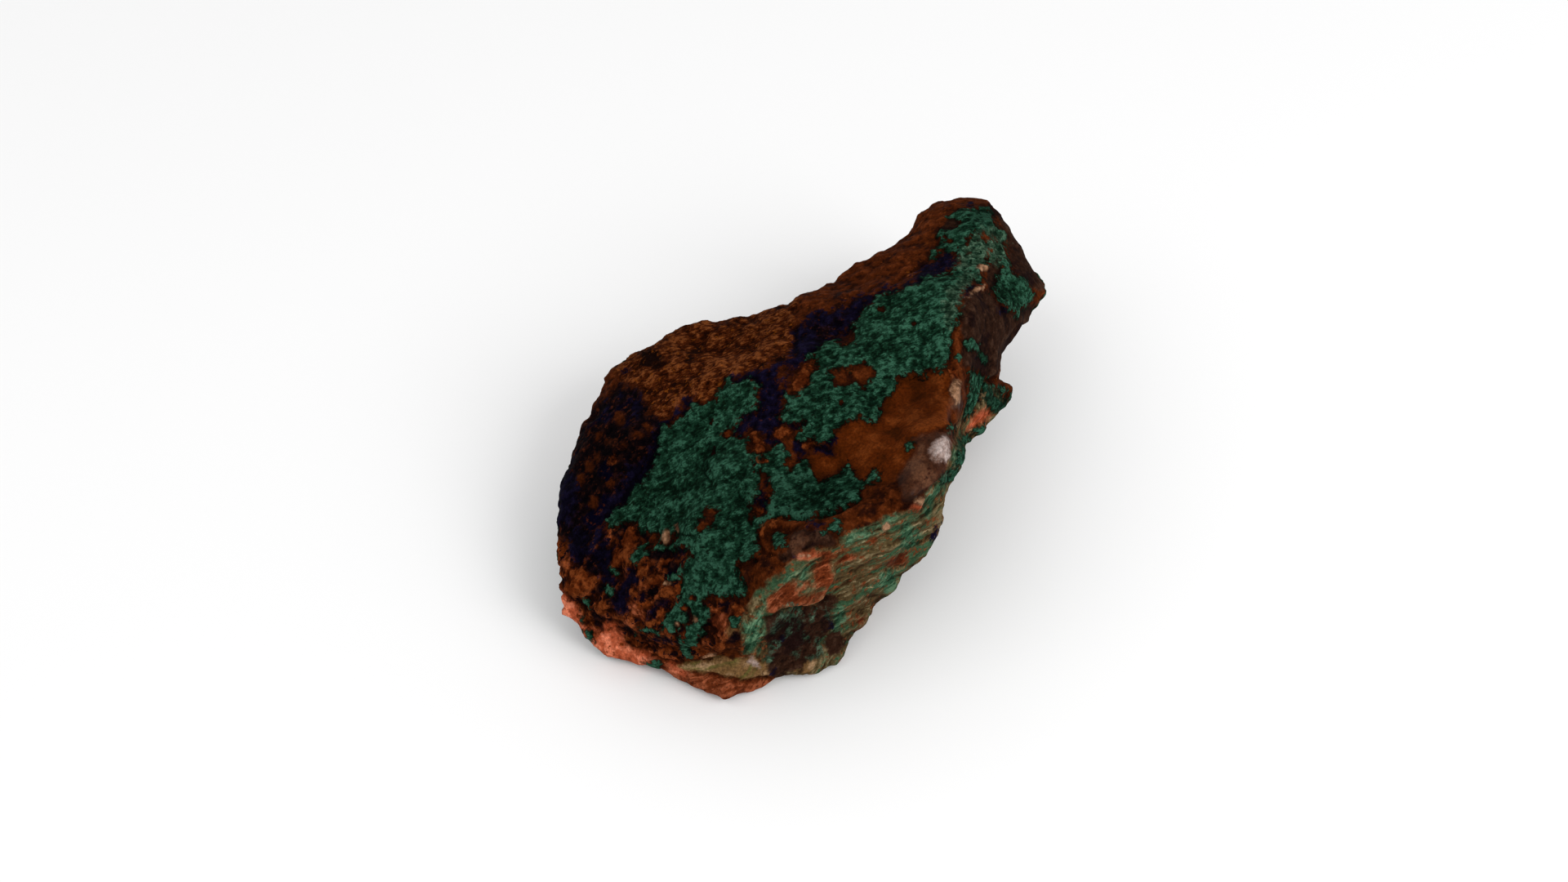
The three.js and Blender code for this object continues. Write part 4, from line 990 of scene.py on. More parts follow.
FINISHES: dict[Mineral, Finish] = {
    Mineral.OCHRE: Finish(
        paint(24, 7, 3), paint(66, 26, 7), paint(126, 63, 32), Pattern.GRAIN, contrast=0.9,
        mottle=0.7, bump=0.2, ragged=0.9, edge=0.5, lumps=0.34, knobs=1.0,
        veils=(
            Veil(paint(98, 43, 14), Pattern.BROAD, 0.52, 0.64),
            Veil(paint(13, 5, 10), Pattern.SPECKS, 0.48, 0.4),
        ),
    ),
    Mineral.GOLDEN: Finish(
        paint(28, 7, 1), paint(57, 21, 4), paint(104, 56, 26), Pattern.NEEDLES, contrast=1.2,
        mottle=0.8, bump=0.3, ragged=0.9, edge=0.5, lumps=0.28, knobs=0.35,
        veils=(
            Veil(paint(18, 5, 3), Pattern.BROAD, 0.44, 0.34),
            Veil(paint(100, 50, 10), Pattern.SPECKS, 0.58, 0.7),
        ),
    ),
    Mineral.HOLLOW: Finish(
        paint(50, 18, 1), paint(68, 26, 3), paint(92, 42, 12), Pattern.BROAD, mottle=0.4,
        bump=0.05, roughness=0.6, ragged=0.5, edge=0.5, lumps=0.05, knobs=0.1,
    ),
    Mineral.WALL: Finish(
        paint(42, 28, 14), paint(68, 55, 33), paint(104, 90, 64), Pattern.BEDS, contrast=0.9,
        mottle=0.4, bump=0.2, ragged=0.5, edge=0.5, lumps=0.1, folds=0.4, knobs=0.2,
        veils=(
            Veil(paint(46, 69, 47), Pattern.BANDS, 0.49, 0.6),
            Veil(paint(98, 50, 26), Pattern.SPECKS, 0.54, 0.66),
            Veil(paint(120, 104, 78), Pattern.BEDS, 0.62, 0.74),
        ),
    ),
    Mineral.GREEN_BEDS: Finish(
        paint(16, 34, 21), paint(40, 68, 48), paint(78, 106, 80), Pattern.BEDS, contrast=1.1,
        mottle=0.8, bump=0.22, ragged=0.9, edge=0.6, lumps=0.12, folds=0.4, knobs=0.2,
        veils=(Veil(paint(84, 58, 38), Pattern.SPECKS, 0.57, 0.68),),
    ),
    Mineral.RED: Finish(
        paint(56, 20, 6), paint(82, 35, 15), paint(126, 66, 41), Pattern.BEDS, mottle=0.9,
        bump=0.16, roughness=0.7, ragged=0.7, edge=0.5, lumps=0.16, knobs=0.25, folds=0.12,
    ),
    Mineral.PINK: Finish(
        paint(118, 50, 25), paint(152, 72, 45), paint(198, 112, 82), Pattern.BROAD, mottle=0.6,
        bump=0.1, roughness=0.6, ragged=0.8, edge=0.8, lumps=0.12, knobs=0.35, folds=0.1,
        veils=(Veil(paint(90, 38, 13), Pattern.SPECKS, 0.42, 0.32),),
    ),
    Mineral.PALE: Finish(
        paint(56, 36, 18), paint(98, 72, 43), paint(138, 110, 80), Pattern.BROAD, bump=0.05,
        roughness=0.6, ragged=0.5, edge=0.4, lumps=0.06, folds=0.05,
        veils=(
            Veil(paint(80, 72, 36), Pattern.BANDS, 0.5, 0.66),
            Veil(paint(52, 34, 18), Pattern.BANDS, 0.45, 0.35),
        ),
    ),
    Mineral.DARK: Finish(
        paint(20, 9, 6), paint(37, 20, 12), paint(56, 37, 27), Pattern.GRAIN, contrast=0.9,
        bump=0.12, ragged=0.6, edge=0.4, lumps=0.12, folds=0.1, knobs=0.2,
        veils=(Veil(paint(24, 11, 9), Pattern.BROAD, 0.45, 0.38),),
    ),
    Mineral.MIXED: Finish(
        paint(3, 1, 4), paint(11, 4, 6), paint(36, 15, 10), Pattern.GRAIN, contrast=1.1,
        mottle=0.6, bump=0.3, ragged=1.3, edge=0.5, gaps=0.28, lumps=0.24, knobs=0.25,
        veils=(
            Veil(paint(3, 2, 17), Pattern.BROAD, 0.54, 0.64),
            Veil(paint(60, 25, 11), Pattern.SPECKS, 0.56, 0.66),
        ),
    ),
    Mineral.AZURITE: Finish(
        paint(3, 1, 7), paint(8, 5, 19), paint(17, 13, 34), Pattern.GRAIN, contrast=1.3,
        mottle=0.5, bump=0.3, ragged=1.5, edge=0.5, gaps=0.34, lumps=0.22, knobs=0.2,
        veils=(Veil(paint(28, 12, 10), Pattern.SPECKS, 0.6, 0.7),),
    ),
    Mineral.MALACHITE: Finish(
        paint(5, 20, 11), paint(19, 48, 33), paint(50, 91, 71), Pattern.COMBED, contrast=1.6,
        mottle=0.7, bump=0.5, ragged=1.3, edge=0.2, shadow=0.55, lumps=0.28, knobs=0.3, raised=0.3,
        veils=(Veil(paint(11, 26, 15), Pattern.SPECKS, 0.42, 0.34),),
    ),
    Mineral.WORN: Finish(
        paint(20, 38, 26), paint(48, 68, 52), paint(84, 106, 86), Pattern.COMBED, contrast=1.3,
        mottle=0.5, bump=0.4, ragged=1.6, edge=0.7, gaps=0.44, lumps=0.28, knobs=0.3,
    ),
    Mineral.RUST: Finish(
        paint(40, 12, 2), paint(68, 26, 6), paint(98, 47, 19), Pattern.GRAIN, contrast=1.2,
        mottle=0.7, bump=0.2, ragged=1.2, edge=0.35, shadow=0.5, lumps=0.2, knobs=0.4, raised=0.1,
    ),
    Mineral.QUARTZ: Finish(
        paint(34, 14, 5), paint(52, 26, 13), paint(78, 48, 31), Pattern.BROAD, mottle=0.9,
        bump=0.06, roughness=0.45, gloss=0.08, ragged=0.5, edge=0.6, lumps=0.05, raised=0.1,
        veils=(Veil(paint(40, 15, 5), Pattern.SPECKS, 0.44, 0.34),),
    ),
    Mineral.MILKY: Finish(
        paint(104, 80, 68), paint(134, 114, 106), paint(164, 148, 142), Pattern.GRAIN, mottle=0.8,
        bump=0.08, roughness=0.45, gloss=0.18, ragged=0.5, edge=0.6, lumps=0.05, raised=0.05,
    ),
    Mineral.CRYSTAL: Finish(
        paint(70, 42, 26), paint(100, 70, 48), paint(140, 104, 78), Pattern.GRAIN, mottle=0.6,
        bump=0.08, roughness=0.5, gloss=0.05, ragged=0.5, edge=0.35, shadow=0.3, lumps=0.05,
        raised=0.12,
    ),
}


# ---- meshes -------------------------------------------------------------------------------

# Finer bumps weaken as this power of their size, and each size is so many times finer.
BUMP_FALL = 0.8
BUMP_STEP = 2.0


def rough(points: Array, size: float, seed: float, sizes: int = 3) -> Array:
    """Samples rough noise.

    Args:
        points: Places in millimetres, one a row.
        size: How wide the largest bumps are, in millimetres.
        seed: Moves the noise, so that two calls differ.
        sizes: How many sizes of bumps are added up.

    Returns:
        Values from about -1 to 1.
    """
    moved = points / size + seed
    return np.array([noise.fractal(Vector(p), BUMP_FALL, BUMP_STEP, sizes) for p in moved])


def smoothstep(low: float, high: float, values: Array) -> Array:
    """Returns 0 below low, 1 above high and a smooth rise between them."""
    part = np.clip((values - low) / (high - low), 0, 1)
    return part * part * (3 - 2 * part)


def merge_close(mesh: bpy.types.Mesh, distance: float) -> None:
    """Merges the points of a mesh that lie closer together than a distance.

    Args:
        mesh: The mesh, which is changed.
        distance: The distance, in metres.
    """
    merged = bmesh.new()
    merged.from_mesh(mesh)
    bmesh.ops.remove_doubles(merged, verts=merged.verts, dist=distance)
    merged.to_mesh(mesh)
    merged.free()


def evaluated_mesh(piece: bpy.types.Object) -> bpy.types.Mesh:
    """Applies the modifiers of a piece, which stays as it is.

    Args:
        piece: The piece.

    Returns:
        A plain mesh of the result.
    """
    depsgraph = bpy.context.evaluated_depsgraph_get()
    return bpy.data.meshes.new_from_object(
        piece.evaluated_get(depsgraph), preserve_all_data_layers=True, depsgraph=depsgraph
    )


class Skin:
    """The fine mesh of the stone, read into arrays and written back."""

    def __init__(self, mesh: bpy.types.Mesh) -> None:
        """Reads the mesh's points, normals and edges.

        Args:
            mesh: The mesh to read from and to write to.
        """
        self.mesh = mesh
        self.points = self._vectors("co")
        self.normals = self._vectors("normal")
        self.edges = self._read(mesh.edges, "vertices", 2, np.int32)
        self.degree = np.bincount(self.edges.ravel(), minlength=len(self.points))

    @staticmethod
    def _read(items: bpy.types.bpy_prop_collection, name: str, width: int, kind: type) -> Array:
        """Reads one property of all items of a mesh.

        Args:
            items: The mesh's points or edges.
            name: The property.
            width: How many numbers it has.
            kind: What kind of number they are.

        Returns:
            The numbers, with a row for each item.
        """
        values = np.empty(len(items) * width, kind)
        items.foreach_get(name, values)
        return values.reshape(-1, width)

    def _vectors(self, name: str) -> Array:
        """Returns one property of the points that has three numbers, such as their places."""
        return self._read(self.mesh.vertices, name, 3, np.float32).astype(float)

    def write(self) -> None:
        """Puts the points back into the mesh and reads its new normals."""
        self.mesh.vertices.foreach_set("co", self.points.astype(np.float32).ravel())
        self.mesh.update()
        self.normals = self._vectors("normal")

    def averaged(self, values: Array, rounds: int) -> Array:
        """Smooths values over the mesh.

        Args:
            values: One number or one row for each point.
            rounds: How many times each point moves half of the way to its neighbours' mean.

        Returns:
            The smoothed values, in the same shape.
        """
        columns = np.atleast_2d(values.T).astype(float)
        first, second = self.edges[:, 0], self.edges[:, 1]
        count = len(self.points)
        for _ in range(rounds):
            for column in columns:
                sums = np.bincount(first, column[second], count)
                sums += np.bincount(second, column[first], count)
                column += (sums / self.degree - column) / 2
        return columns.T if values.ndim > 1 else columns[0]

    def height_over(self, rounds: int) -> Array:
        """Returns how far each point stands out of the surface smoothed by so many rounds."""
        smooth = self.averaged(self.points, rounds)
        return np.einsum("ij,ij->i", self.points - smooth, self.normals)

    def store(self, name: str, values: Array) -> None:
        """Keeps one number for each point as an attribute that nodes can read."""
        layer = self.mesh.attributes.new(name, "FLOAT", "POINT")
        layer.data.foreach_set("value", values.astype(np.float32))


# ---- node trees ---------------------------------------------------------------------------


class Graph:
    """A node tree while it is wired, with short calls for the nodes used most."""

    def __init__(self, tree: bpy.types.NodeTree) -> None:
        """Starts on a tree."""
        self.tree = tree

    def feed(self, socket: Socket, value: object) -> None:
        """Links a socket to another one, or sets its value.

        Args:
            socket: The input to feed.
            value: The output to link it to, or what it is set to.
        """
        if isinstance(value, Socket):
            self.tree.links.new(value, socket)
        else:
            socket.default_value = value

    def node(self, kind: str, inputs: dict | None = None, **settings: object) -> bpy.types.Node:
        """Adds a node.

        Args:
            kind: The node's type.
            inputs: What goes into its sockets, by name or number.
            settings: Its other properties.

        Returns:
            The node.
        """
        made = self.tree.nodes.new(kind)
        for name, value in settings.items():
            setattr(made, name, value)
        for name, value in (inputs or {}).items():
            self.feed(made.inputs[name], value)
        return made

    def math(self, operation: str, *values: object) -> Socket:
        """Returns the result of a Math node."""
        return self.node("ShaderNodeMath", dict(enumerate(values)), operation=operation).outputs[0]

    def vector(self, operation: str, *values: object) -> Socket:
        """Returns the vector result of a Vector Math node."""
        inputs = dict(enumerate(values))
        return self.node("ShaderNodeVectorMath", inputs, operation=operation).outputs[0]

    def scaled(self, vector: object, scale: object) -> Socket:
        """Returns a vector times a number."""
        inputs = {0: vector, "Scale": scale}
        return self.node("ShaderNodeVectorMath", inputs, operation="SCALE").outputs[0]

    def swing(self, pattern: object, strength: object) -> Socket:
        """Returns how far a pattern lies from its middle, times a strength."""
        return self.math("MULTIPLY", self.math("SUBTRACT", pattern, MIDDLE), strength)

    def blend(self, factor: object, first: object, second: object) -> Socket:
        """Returns a number between two others."""
        inputs = {0: factor, 2: first, 3: second}
        return self.node("ShaderNodeMix", inputs, data_type="FLOAT").outputs[0]

    def mix(self, factor: object, first: object, second: object) -> Socket:
        """Returns a colour between two others."""
        inputs = {0: factor, 6: first, 7: second}
        return self.node("ShaderNodeMix", inputs, data_type="RGBA").outputs[2]

    def rise(self, value: object, low: object, high: object) -> Socket:
        """Returns 0 where the value is below low, 1 above high and a smooth rise between."""
        inputs = {"Value": value, "From Min": low, "From Max": high}
        return self.node("ShaderNodeMapRange", inputs, interpolation_type="SMOOTHSTEP").outputs[0]

    def group(self, tree: bpy.types.NodeTree, values: dict[str, object]) -> bpy.types.Node:
        """Returns a node that holds a shader group and is given these values."""
        return self.node("ShaderNodeGroup", values, node_tree=tree)

    def noise(self, place: object, scale: object, detail: float, roughness: float) -> Socket:
        """Returns a noise texture's value, about 0.5 on average."""
        inputs = {"Vector": place, "Scale": scale, "Detail": detail, "Roughness": roughness}
        return self.node("ShaderNodeTexNoise", inputs).outputs[0]


def shade_number(graph: Graph, name: str) -> Socket:
    """Returns one of the numbers that the stone's points carry, in a material."""
    return graph.node("ShaderNodeAttribute", attribute_name=name).outputs["Fac"]


def shape_number(graph: Graph, name: str) -> Socket:
    """Returns one of the numbers that the stone's points carry, in a geometry tree."""
    carried = graph.node("GeometryNodeInputNamedAttribute", {"Name": name}, data_type="FLOAT")
    return carried.outputs["Attribute"]


@dataclass(frozen=True)
class GroupMaker:
    """Makes the shader groups that the finishes share.

    Reaches, insets and widths are in millimetres of a mineral's field. Tones are where the dark
    colour turns into the body colour, and where that turns into the light one.
    """

    fray_reach: float = 3.2
    gap_slope: float = 9.0
    rim_inset: float = 0.1
    rim_width: float = 0.5
    relief_shade_share: float = 0.16
    dark_tones: tuple[float, float] = (-0.18, 0.0)
    light_tones: tuple[float, float] = (0.02, 0.24)
    veil_contrast: float = 2.2
    veil_base: float = -0.1

    @staticmethod
    def _group(name: str, takes: str, gives: str) -> tuple[Graph, dict[str, Socket], bpy.types.Node]:
        """Starts a group.

        Args:
            name: The group's name.
            takes: Its inputs, each as a kind and a name: "Float Edge, Color Body".
            gives: Its outputs, written the same way.

        Returns:
            The graph, its inputs by name, and the node that its results go to.
        """
        tree = bpy.data.node_groups.new(name, "ShaderNodeTree")
        for side, sockets in (("INPUT", takes), ("OUTPUT", gives)):
            for socket in sockets.split(", "):
                kind, label = socket.split(" ", 1)
                tree.interface.new_socket(name=label, in_out=side, socket_type=f"NodeSocket{kind}")
        graph = Graph(tree)
        start = graph.node("NodeGroupInput")
        given = {socket.name: socket for socket in start.outputs if socket.name}
        return graph, given, graph.node("NodeGroupOutput")

    def ragged_edge(self) -> bpy.types.NodeTree:
        """Makes the group that turns a mineral's field into a mask with a frayed edge and gaps.

        Returns:
            The group, which gives the mask and a second one along its rim.
        """
        takes = "Float Field, Float Fray, Float Specks, Float Ragged, Float Edge, Float Gaps"
        graph, given, end = self._group("Ragged Edge", takes, "Float Mask, Float Rim")
        wander = graph.swing(given["Fray"], given["Ragged"])
        moved = graph.math("MULTIPLY_ADD", wander, self.fray_reach, given["Field"])
        whole = graph.math("SUBTRACT", given["Specks"], given["Gaps"])
        inside = graph.math("MINIMUM", moved, graph.math("MULTIPLY", whole, self.gap_slope))
        low = graph.math("MULTIPLY", given["Edge"], -1.0)
        graph.feed(end.inputs["Mask"], graph.rise(inside, low, given["Edge"]))
        off_rim = graph.math("ABSOLUTE", graph.math("ADD", inside, self.rim_inset))
        rim = graph.math("SUBTRACT", 1.0, graph.rise(off_rim, 0.0, self.rim_width))
        graph.feed(end.inputs["Rim"], rim)
        return graph.tree

    def crust(self) -> bpy.types.NodeTree:
        """Makes the group that colours a surface by a pattern, broad mottling and relief, whose crevices it
        darkens and whose ridges it lightens as painted shade and highlight.

        Returns:
            The group, which gives the colour.
        """
        takes = (
            "Color Dark, Color Body, Color Light, Float Pattern, Float Contrast, Float Broad, "
            "Float Mottle, Float Relief"
        )
        graph, given, end = self._group("Crust", takes, "Color Colour")
        sharp = graph.swing(given["Pattern"], given["Contrast"])
        broad = graph.swing(given["Broad"], given["Mottle"])
        # Painted shade and highlight: the relief makes crevices darker and ridges lighter.
        relief = graph.math("MULTIPLY", given["Relief"], self.relief_shade_share)
        light_and_tone = graph.math("ADD", graph.math("ADD", sharp, broad), relief)
        shaded = graph.mix(graph.rise(light_and_tone, *self.dark_tones), given["Dark"], given["Body"])
        colour = graph.mix(graph.rise(light_and_tone, *self.light_tones), shaded, given["Light"])
        graph.feed(end.inputs["Colour"], colour)
        return graph.tree

    def veil(self) -> bpy.types.NodeTree:
        """Makes the group that lays a second colour over a first one, where a pattern says so.

        Returns:
            The group, which gives the colour.
        """
        takes = "Color Under, Color Over, Float Pattern, Float Start, Float Full, Float Shade"
        graph, given, end = self._group("Veil", takes, "Color Colour")
        share = graph.rise(given["Pattern"], given["Start"], given["Full"])
        shade = graph.math("MULTIPLY_ADD", given["Shade"], self.veil_contrast, self.veil_base)
        shaded = graph.scaled(given["Over"], shade)
        graph.feed(end.inputs["Colour"], graph.mix(share, given["Under"], shaded))
        return graph.tree


class Palette:
    """What the finishes of one material are mixed from: its patterns and the shared groups."""

    def __init__(self, graph: Graph, patterns: dict[Pattern, Socket]) -> None:
        """Makes the groups.

        Args:
            graph: The material's graph.
            patterns: The value of each pattern.
        """
        maker = GroupMaker()
        self.graph = graph
        self.patterns = patterns
        # How far each point stands out of the surface, which paints shade into crevices and light onto
        # ridges.
        self.relief = shade_number(graph, "relief")
        self.crust, self.veil, self.ragged_edge = maker.crust(), maker.veil(), maker.ragged_edge()

    def coloured(self, finish: Finish) -> Socket:
        """Mixes the colour of a finish.

        Args:
            finish: The finish.

        Returns:
            Its colour.
        """
        pattern = self.patterns[finish.pattern]
        values = {
            "Dark": finish.dark, "Body": finish.body, "Light": finish.light,
            "Pattern": pattern, "Contrast": finish.contrast,
            "Broad": self.patterns[Pattern.BROAD], "Mottle": finish.mottle, "Relief": self.relief,
        }
        result = self.graph.group(self.crust, values).outputs[0]
        for layer in finish.veils:
            values = {
                "Under": result, "Over": layer.colour, "Pattern": self.patterns[layer.pattern],
                "Start": layer.start, "Full": layer.full, "Shade": pattern,
            }
            result = self.graph.group(self.veil, values).outputs[0]
        return result

    def raised(self, finish: Finish) -> Socket:
        """Returns the height of a finish's pattern, in millimetres."""
        return self.graph.math("MULTIPLY", self.patterns[finish.pattern], finish.bump)

    def edge(self, mineral: Mineral, finish: Finish) -> tuple[Socket, Socket]:
        """Finds where a mineral shows.

        Args:
            mineral: The mineral.
            finish: Its finish.

        Returns:
            A mask of the mineral, and one of its rim.
        """
        values = {
            "Field": shade_number(self.graph, mineral.value),
            "Fray": self.patterns[Pattern.GRAIN], "Specks": self.patterns[Pattern.SPECKS],
            "Ragged": finish.ragged, "Edge": finish.edge, "Gaps": finish.gaps,
        }
        found = self.graph.group(self.ragged_edge, values)
        return found.outputs["Mask"], found.outputs["Rim"]


@dataclass(frozen=True)
class StoneMaterial:
    """The finish of the whole stone: the rock, with each mineral laid over it in turn.

    Angles are in degrees, and lengths in metres. A stretch is how many times longer than wide
    fibres are. The fine pattern times its contrast, plus its base, multiplies every colour.
    """

    name: str = "crusted_rock"
    combed_turn: float = -28.0
    combed_stretch: float = 2.0
    needle_stretch: float = 3.0
    waver: Grain = Grain(500.0, 2.0, 0.55)
    waver_reach: float = 1.2 * MM
    elsewhere: Place = (0.13, 0.07, 0.11)
    fine_contrast: float = 1.8
    fine_base: float = 0.1
    specular_level: float = 0.01
    coat_roughness: float = 0.3

    def _combed(self, graph: Graph, place: Socket, stretch: float) -> Socket:
        """Turns and stretches places, so that a pattern's bumps become fibres.

        Args:
            graph: The material's graph.
            place: Where a point lies on the stone.
            stretch: How many times longer than wide the fibres are.

        Returns:
            The places.
        """
        turn = (0, 0, math.radians(self.combed_turn))
        inputs = {"Vector": place, "Rotation": turn, "Scale": (stretch, 1.0, 1.0)}
        return graph.node("ShaderNodeMapping", inputs, vector_type="TEXTURE").outputs[0]

    def _bedded(self, graph: Graph, place: Socket) -> Socket:
        """Finds how far places lie along the beds and across them. The beds waver a little.

        Args:
            graph: The material's graph.
            place: Where a point lies on the stone.

        Returns:
            The two distances, as the first parts of a place.
        """
        wave = graph.noise(place, self.waver.scale, self.waver.detail, self.waver.roughness)
        across = shade_number(graph, "bed_across")
        wavered = graph.math("MULTIPLY_ADD", wave, self.waver_reach, across)
        beds = {0: shade_number(graph, "bed_along"), 1: wavered, 2: 0.0}
        return graph.node("ShaderNodeCombineXYZ", beds).outputs[0]

    def _patterns(self, graph: Graph) -> dict[Pattern, Socket]:
        """Makes the patterns.

        Args:
            graph: The material's graph.

        Returns:
            The value of each pattern, about 0.5 on average.
        """
        place = graph.node("ShaderNodeTexCoord").outputs["Object"]
        moved = graph.vector("ADD", place, self.elsewhere)
        bedded = self._bedded(graph, place)
        places = {
            Pattern.FINE: place,
            Pattern.GRAIN: place,
            Pattern.SPECKS: moved,
            Pattern.BROAD: moved,
            Pattern.COMBED: self._combed(graph, place, self.combed_stretch),
            Pattern.NEEDLES: self._combed(graph, place, self.needle_stretch),
            Pattern.BEDS: bedded,
            Pattern.BANDS: bedded,
        }
        return {
            pattern: graph.noise(places[pattern], grain.scale, grain.detail, grain.roughness)
            for pattern, grain in GRAINS.items()
        }

    def _layered(self, palette: Palette) -> tuple[dict[str, object], Socket]:
        """Lays the minerals over the rock, one after the other.

        Args:
            palette: What the finishes are mixed from.

        Returns:
            What the shader's sockets are fed with, by name, and the height in millimetres.
        """
        graph = palette.graph
        colour, height = palette.coloured(ROCK), palette.raised(ROCK)
        roughness, gloss = ROCK.roughness, ROCK.gloss
        for mineral, finish in FINISHES.items():
            cover, rim = palette.edge(mineral, finish)
            colour = graph.mix(cover, colour, palette.coloured(finish))
            if finish.shadow:
                lit = graph.math("MULTIPLY_ADD", rim, -finish.shadow, 1.0)
                colour = graph.scaled(colour, lit)
            height = graph.blend(cover, height, palette.raised(finish))
            roughness = graph.blend(cover, roughness, finish.roughness)
            if finish.gloss:
                gloss = graph.blend(cover, gloss, finish.gloss)
        # The fine grain, and the tones of painted light and shade, multiply every colour.
        fine = palette.patterns[Pattern.FINE]
        grains = graph.math("MULTIPLY_ADD", fine, self.fine_contrast, self.fine_base)
        grain_light_and_tone = graph.math("MULTIPLY", grains, shade_number(graph, "light_and_tone"))
        colour = graph.scaled(colour, grain_light_and_tone)
        return {"Base Color": colour, "Roughness": roughness, "Coat Weight": gloss}, height

    def build(self) -> bpy.types.Material:
        """Makes the material.

        Returns:
            The material.
        """
        material = bpy.data.materials.new(self.name)
        material.use_nodes = True
        material.node_tree.nodes.clear()
        graph = Graph(material.node_tree)
        surface, height = self._layered(Palette(graph, self._patterns(graph)))
        bump = graph.node("ShaderNodeBump", {"Height": height, "Distance": MM, "Strength": 1.0})
        surface["Normal"] = bump.outputs[0]
        shader = graph.node("ShaderNodeBsdfPrincipled", surface)
        shader.inputs["Specular IOR Level"].default_value = self.specular_level
        shader.inputs["Coat Roughness"].default_value = self.coat_roughness
        graph.node("ShaderNodeOutputMaterial", {"Surface": shader.outputs[0]})
        return material


@dataclass(frozen=True)
class CrustRelief:
    """The tree that raises lumps and folds on the surface. Sizes are in metres.

    The lumps are cells that a swirl bends out of shape, and they stand out of the surface up to
    their reach from the cell's middle. Both reaches are in sizes of a lump.
    """

    lump_size: float = 1.5 * MM
    lump_roundness: float = 0.5
    lump_reach: float = 0.45
    swirl_detail: float = 2.0
    swirl_reach: float = 0.8
    unevenness: float = 2.2
    fold_size: float = 1.3 * MM
    fold_strength: float = 3.0
    detail: float = 3.0
    roughness: float = 0.6

    def build(self, material: bpy.types.Material) -> tuple[bpy.types.NodeTree, dict[str, float]]:
        """Makes the tree.

        Args:
            material: What the result is made of.

        Returns:
            The tree, and the values of its inputs by name.
        """
        tree = bpy.data.node_groups.new("Crust Relief", "GeometryNodeTree")
        tree.interface.new_socket(name="Geometry", in_out="INPUT", socket_type="NodeSocketGeometry")
        values = {"Lump Scale": 1 / self.lump_size, "Fold Scale": MM / self.fold_size}
        for name in values:
            tree.interface.new_socket(name=name, in_out="INPUT", socket_type="NodeSocketFloat")
        tree.interface.new_socket(name="Geometry", in_out="OUTPUT", socket_type="NodeSocketGeometry")
        graph = Graph(tree)
        given = graph.node("NodeGroupInput").outputs
        lumps = self._lumps(graph, given["Lump Scale"])
        height = graph.math("ADD", lumps, self._folds(graph, given["Fold Scale"]))
        offset = graph.scaled(graph.node("GeometryNodeInputNormal").outputs[0], height)
        inputs = {"Geometry": given["Geometry"], "Offset": offset}
        moved = graph.node("GeometryNodeSetPosition", inputs)
        real = graph.node("GeometryNodeRealizeInstances", {0: moved.outputs[0]})
        inputs = {"Geometry": real.outputs[0], "Material": material}
        dressed = graph.node("GeometryNodeSetMaterial", inputs)
        graph.node("NodeGroupOutput", {"Geometry": dressed.outputs[0]})
        return tree, values

    def _lumps(self, graph: Graph, scale: Socket) -> Socket:
        """Makes the lumps.

        Args:
            graph: The tree's graph.
            scale: How many lumps a metre holds.

        Returns:
            How high the lumps stand, in metres.
        """
        place = graph.node("GeometryNodeInputPosition").outputs[0]
        inputs = {"Vector": place, "Scale": scale, "Detail": self.swirl_detail}
        swirl = graph.node("ShaderNodeTexNoise", inputs).outputs[1]
        bent = graph.vector("ADD", place, graph.scaled(swirl, self.swirl_reach * self.lump_size))
        inputs = {"Vector": bent, "Scale": scale, "Smoothness": self.lump_roundness}
        cells = graph.node("ShaderNodeTexVoronoi", inputs, feature="SMOOTH_F1")
        lump = graph.math("SUBTRACT", self.lump_reach, cells.outputs["Distance"])
        bumps = graph.noise(place, scale, self.detail, self.roughness)
        height = graph.math("ADD", lump, graph.swing(bumps, self.unevenness))
        return graph.math("MULTIPLY", height, shape_number(graph, "lumps"))

    def _folds(self, graph: Graph, scale: Socket) -> Socket:
        """Makes the folds, which run along the beds.

        Args:
            graph: The tree's graph.
            scale: How many folds a millimetre holds.

        Returns:
            How high the folds stand, in metres.
        """
        along, across = (
            graph.math("MULTIPLY", shape_number(graph, name), 1 / MM)
            for name in ("bed_along", "bed_across")
        )
        threads = graph.node("ShaderNodeCombineXYZ", {0: along, 1: across}).outputs[0]
        bumps = graph.noise(threads, scale, self.detail, self.roughness)
        height = graph.swing(bumps, self.fold_strength)
        return graph.math("MULTIPLY", height, shape_number(graph, "folds"))


# ---- the stone ----------------------------------------------------------------------------


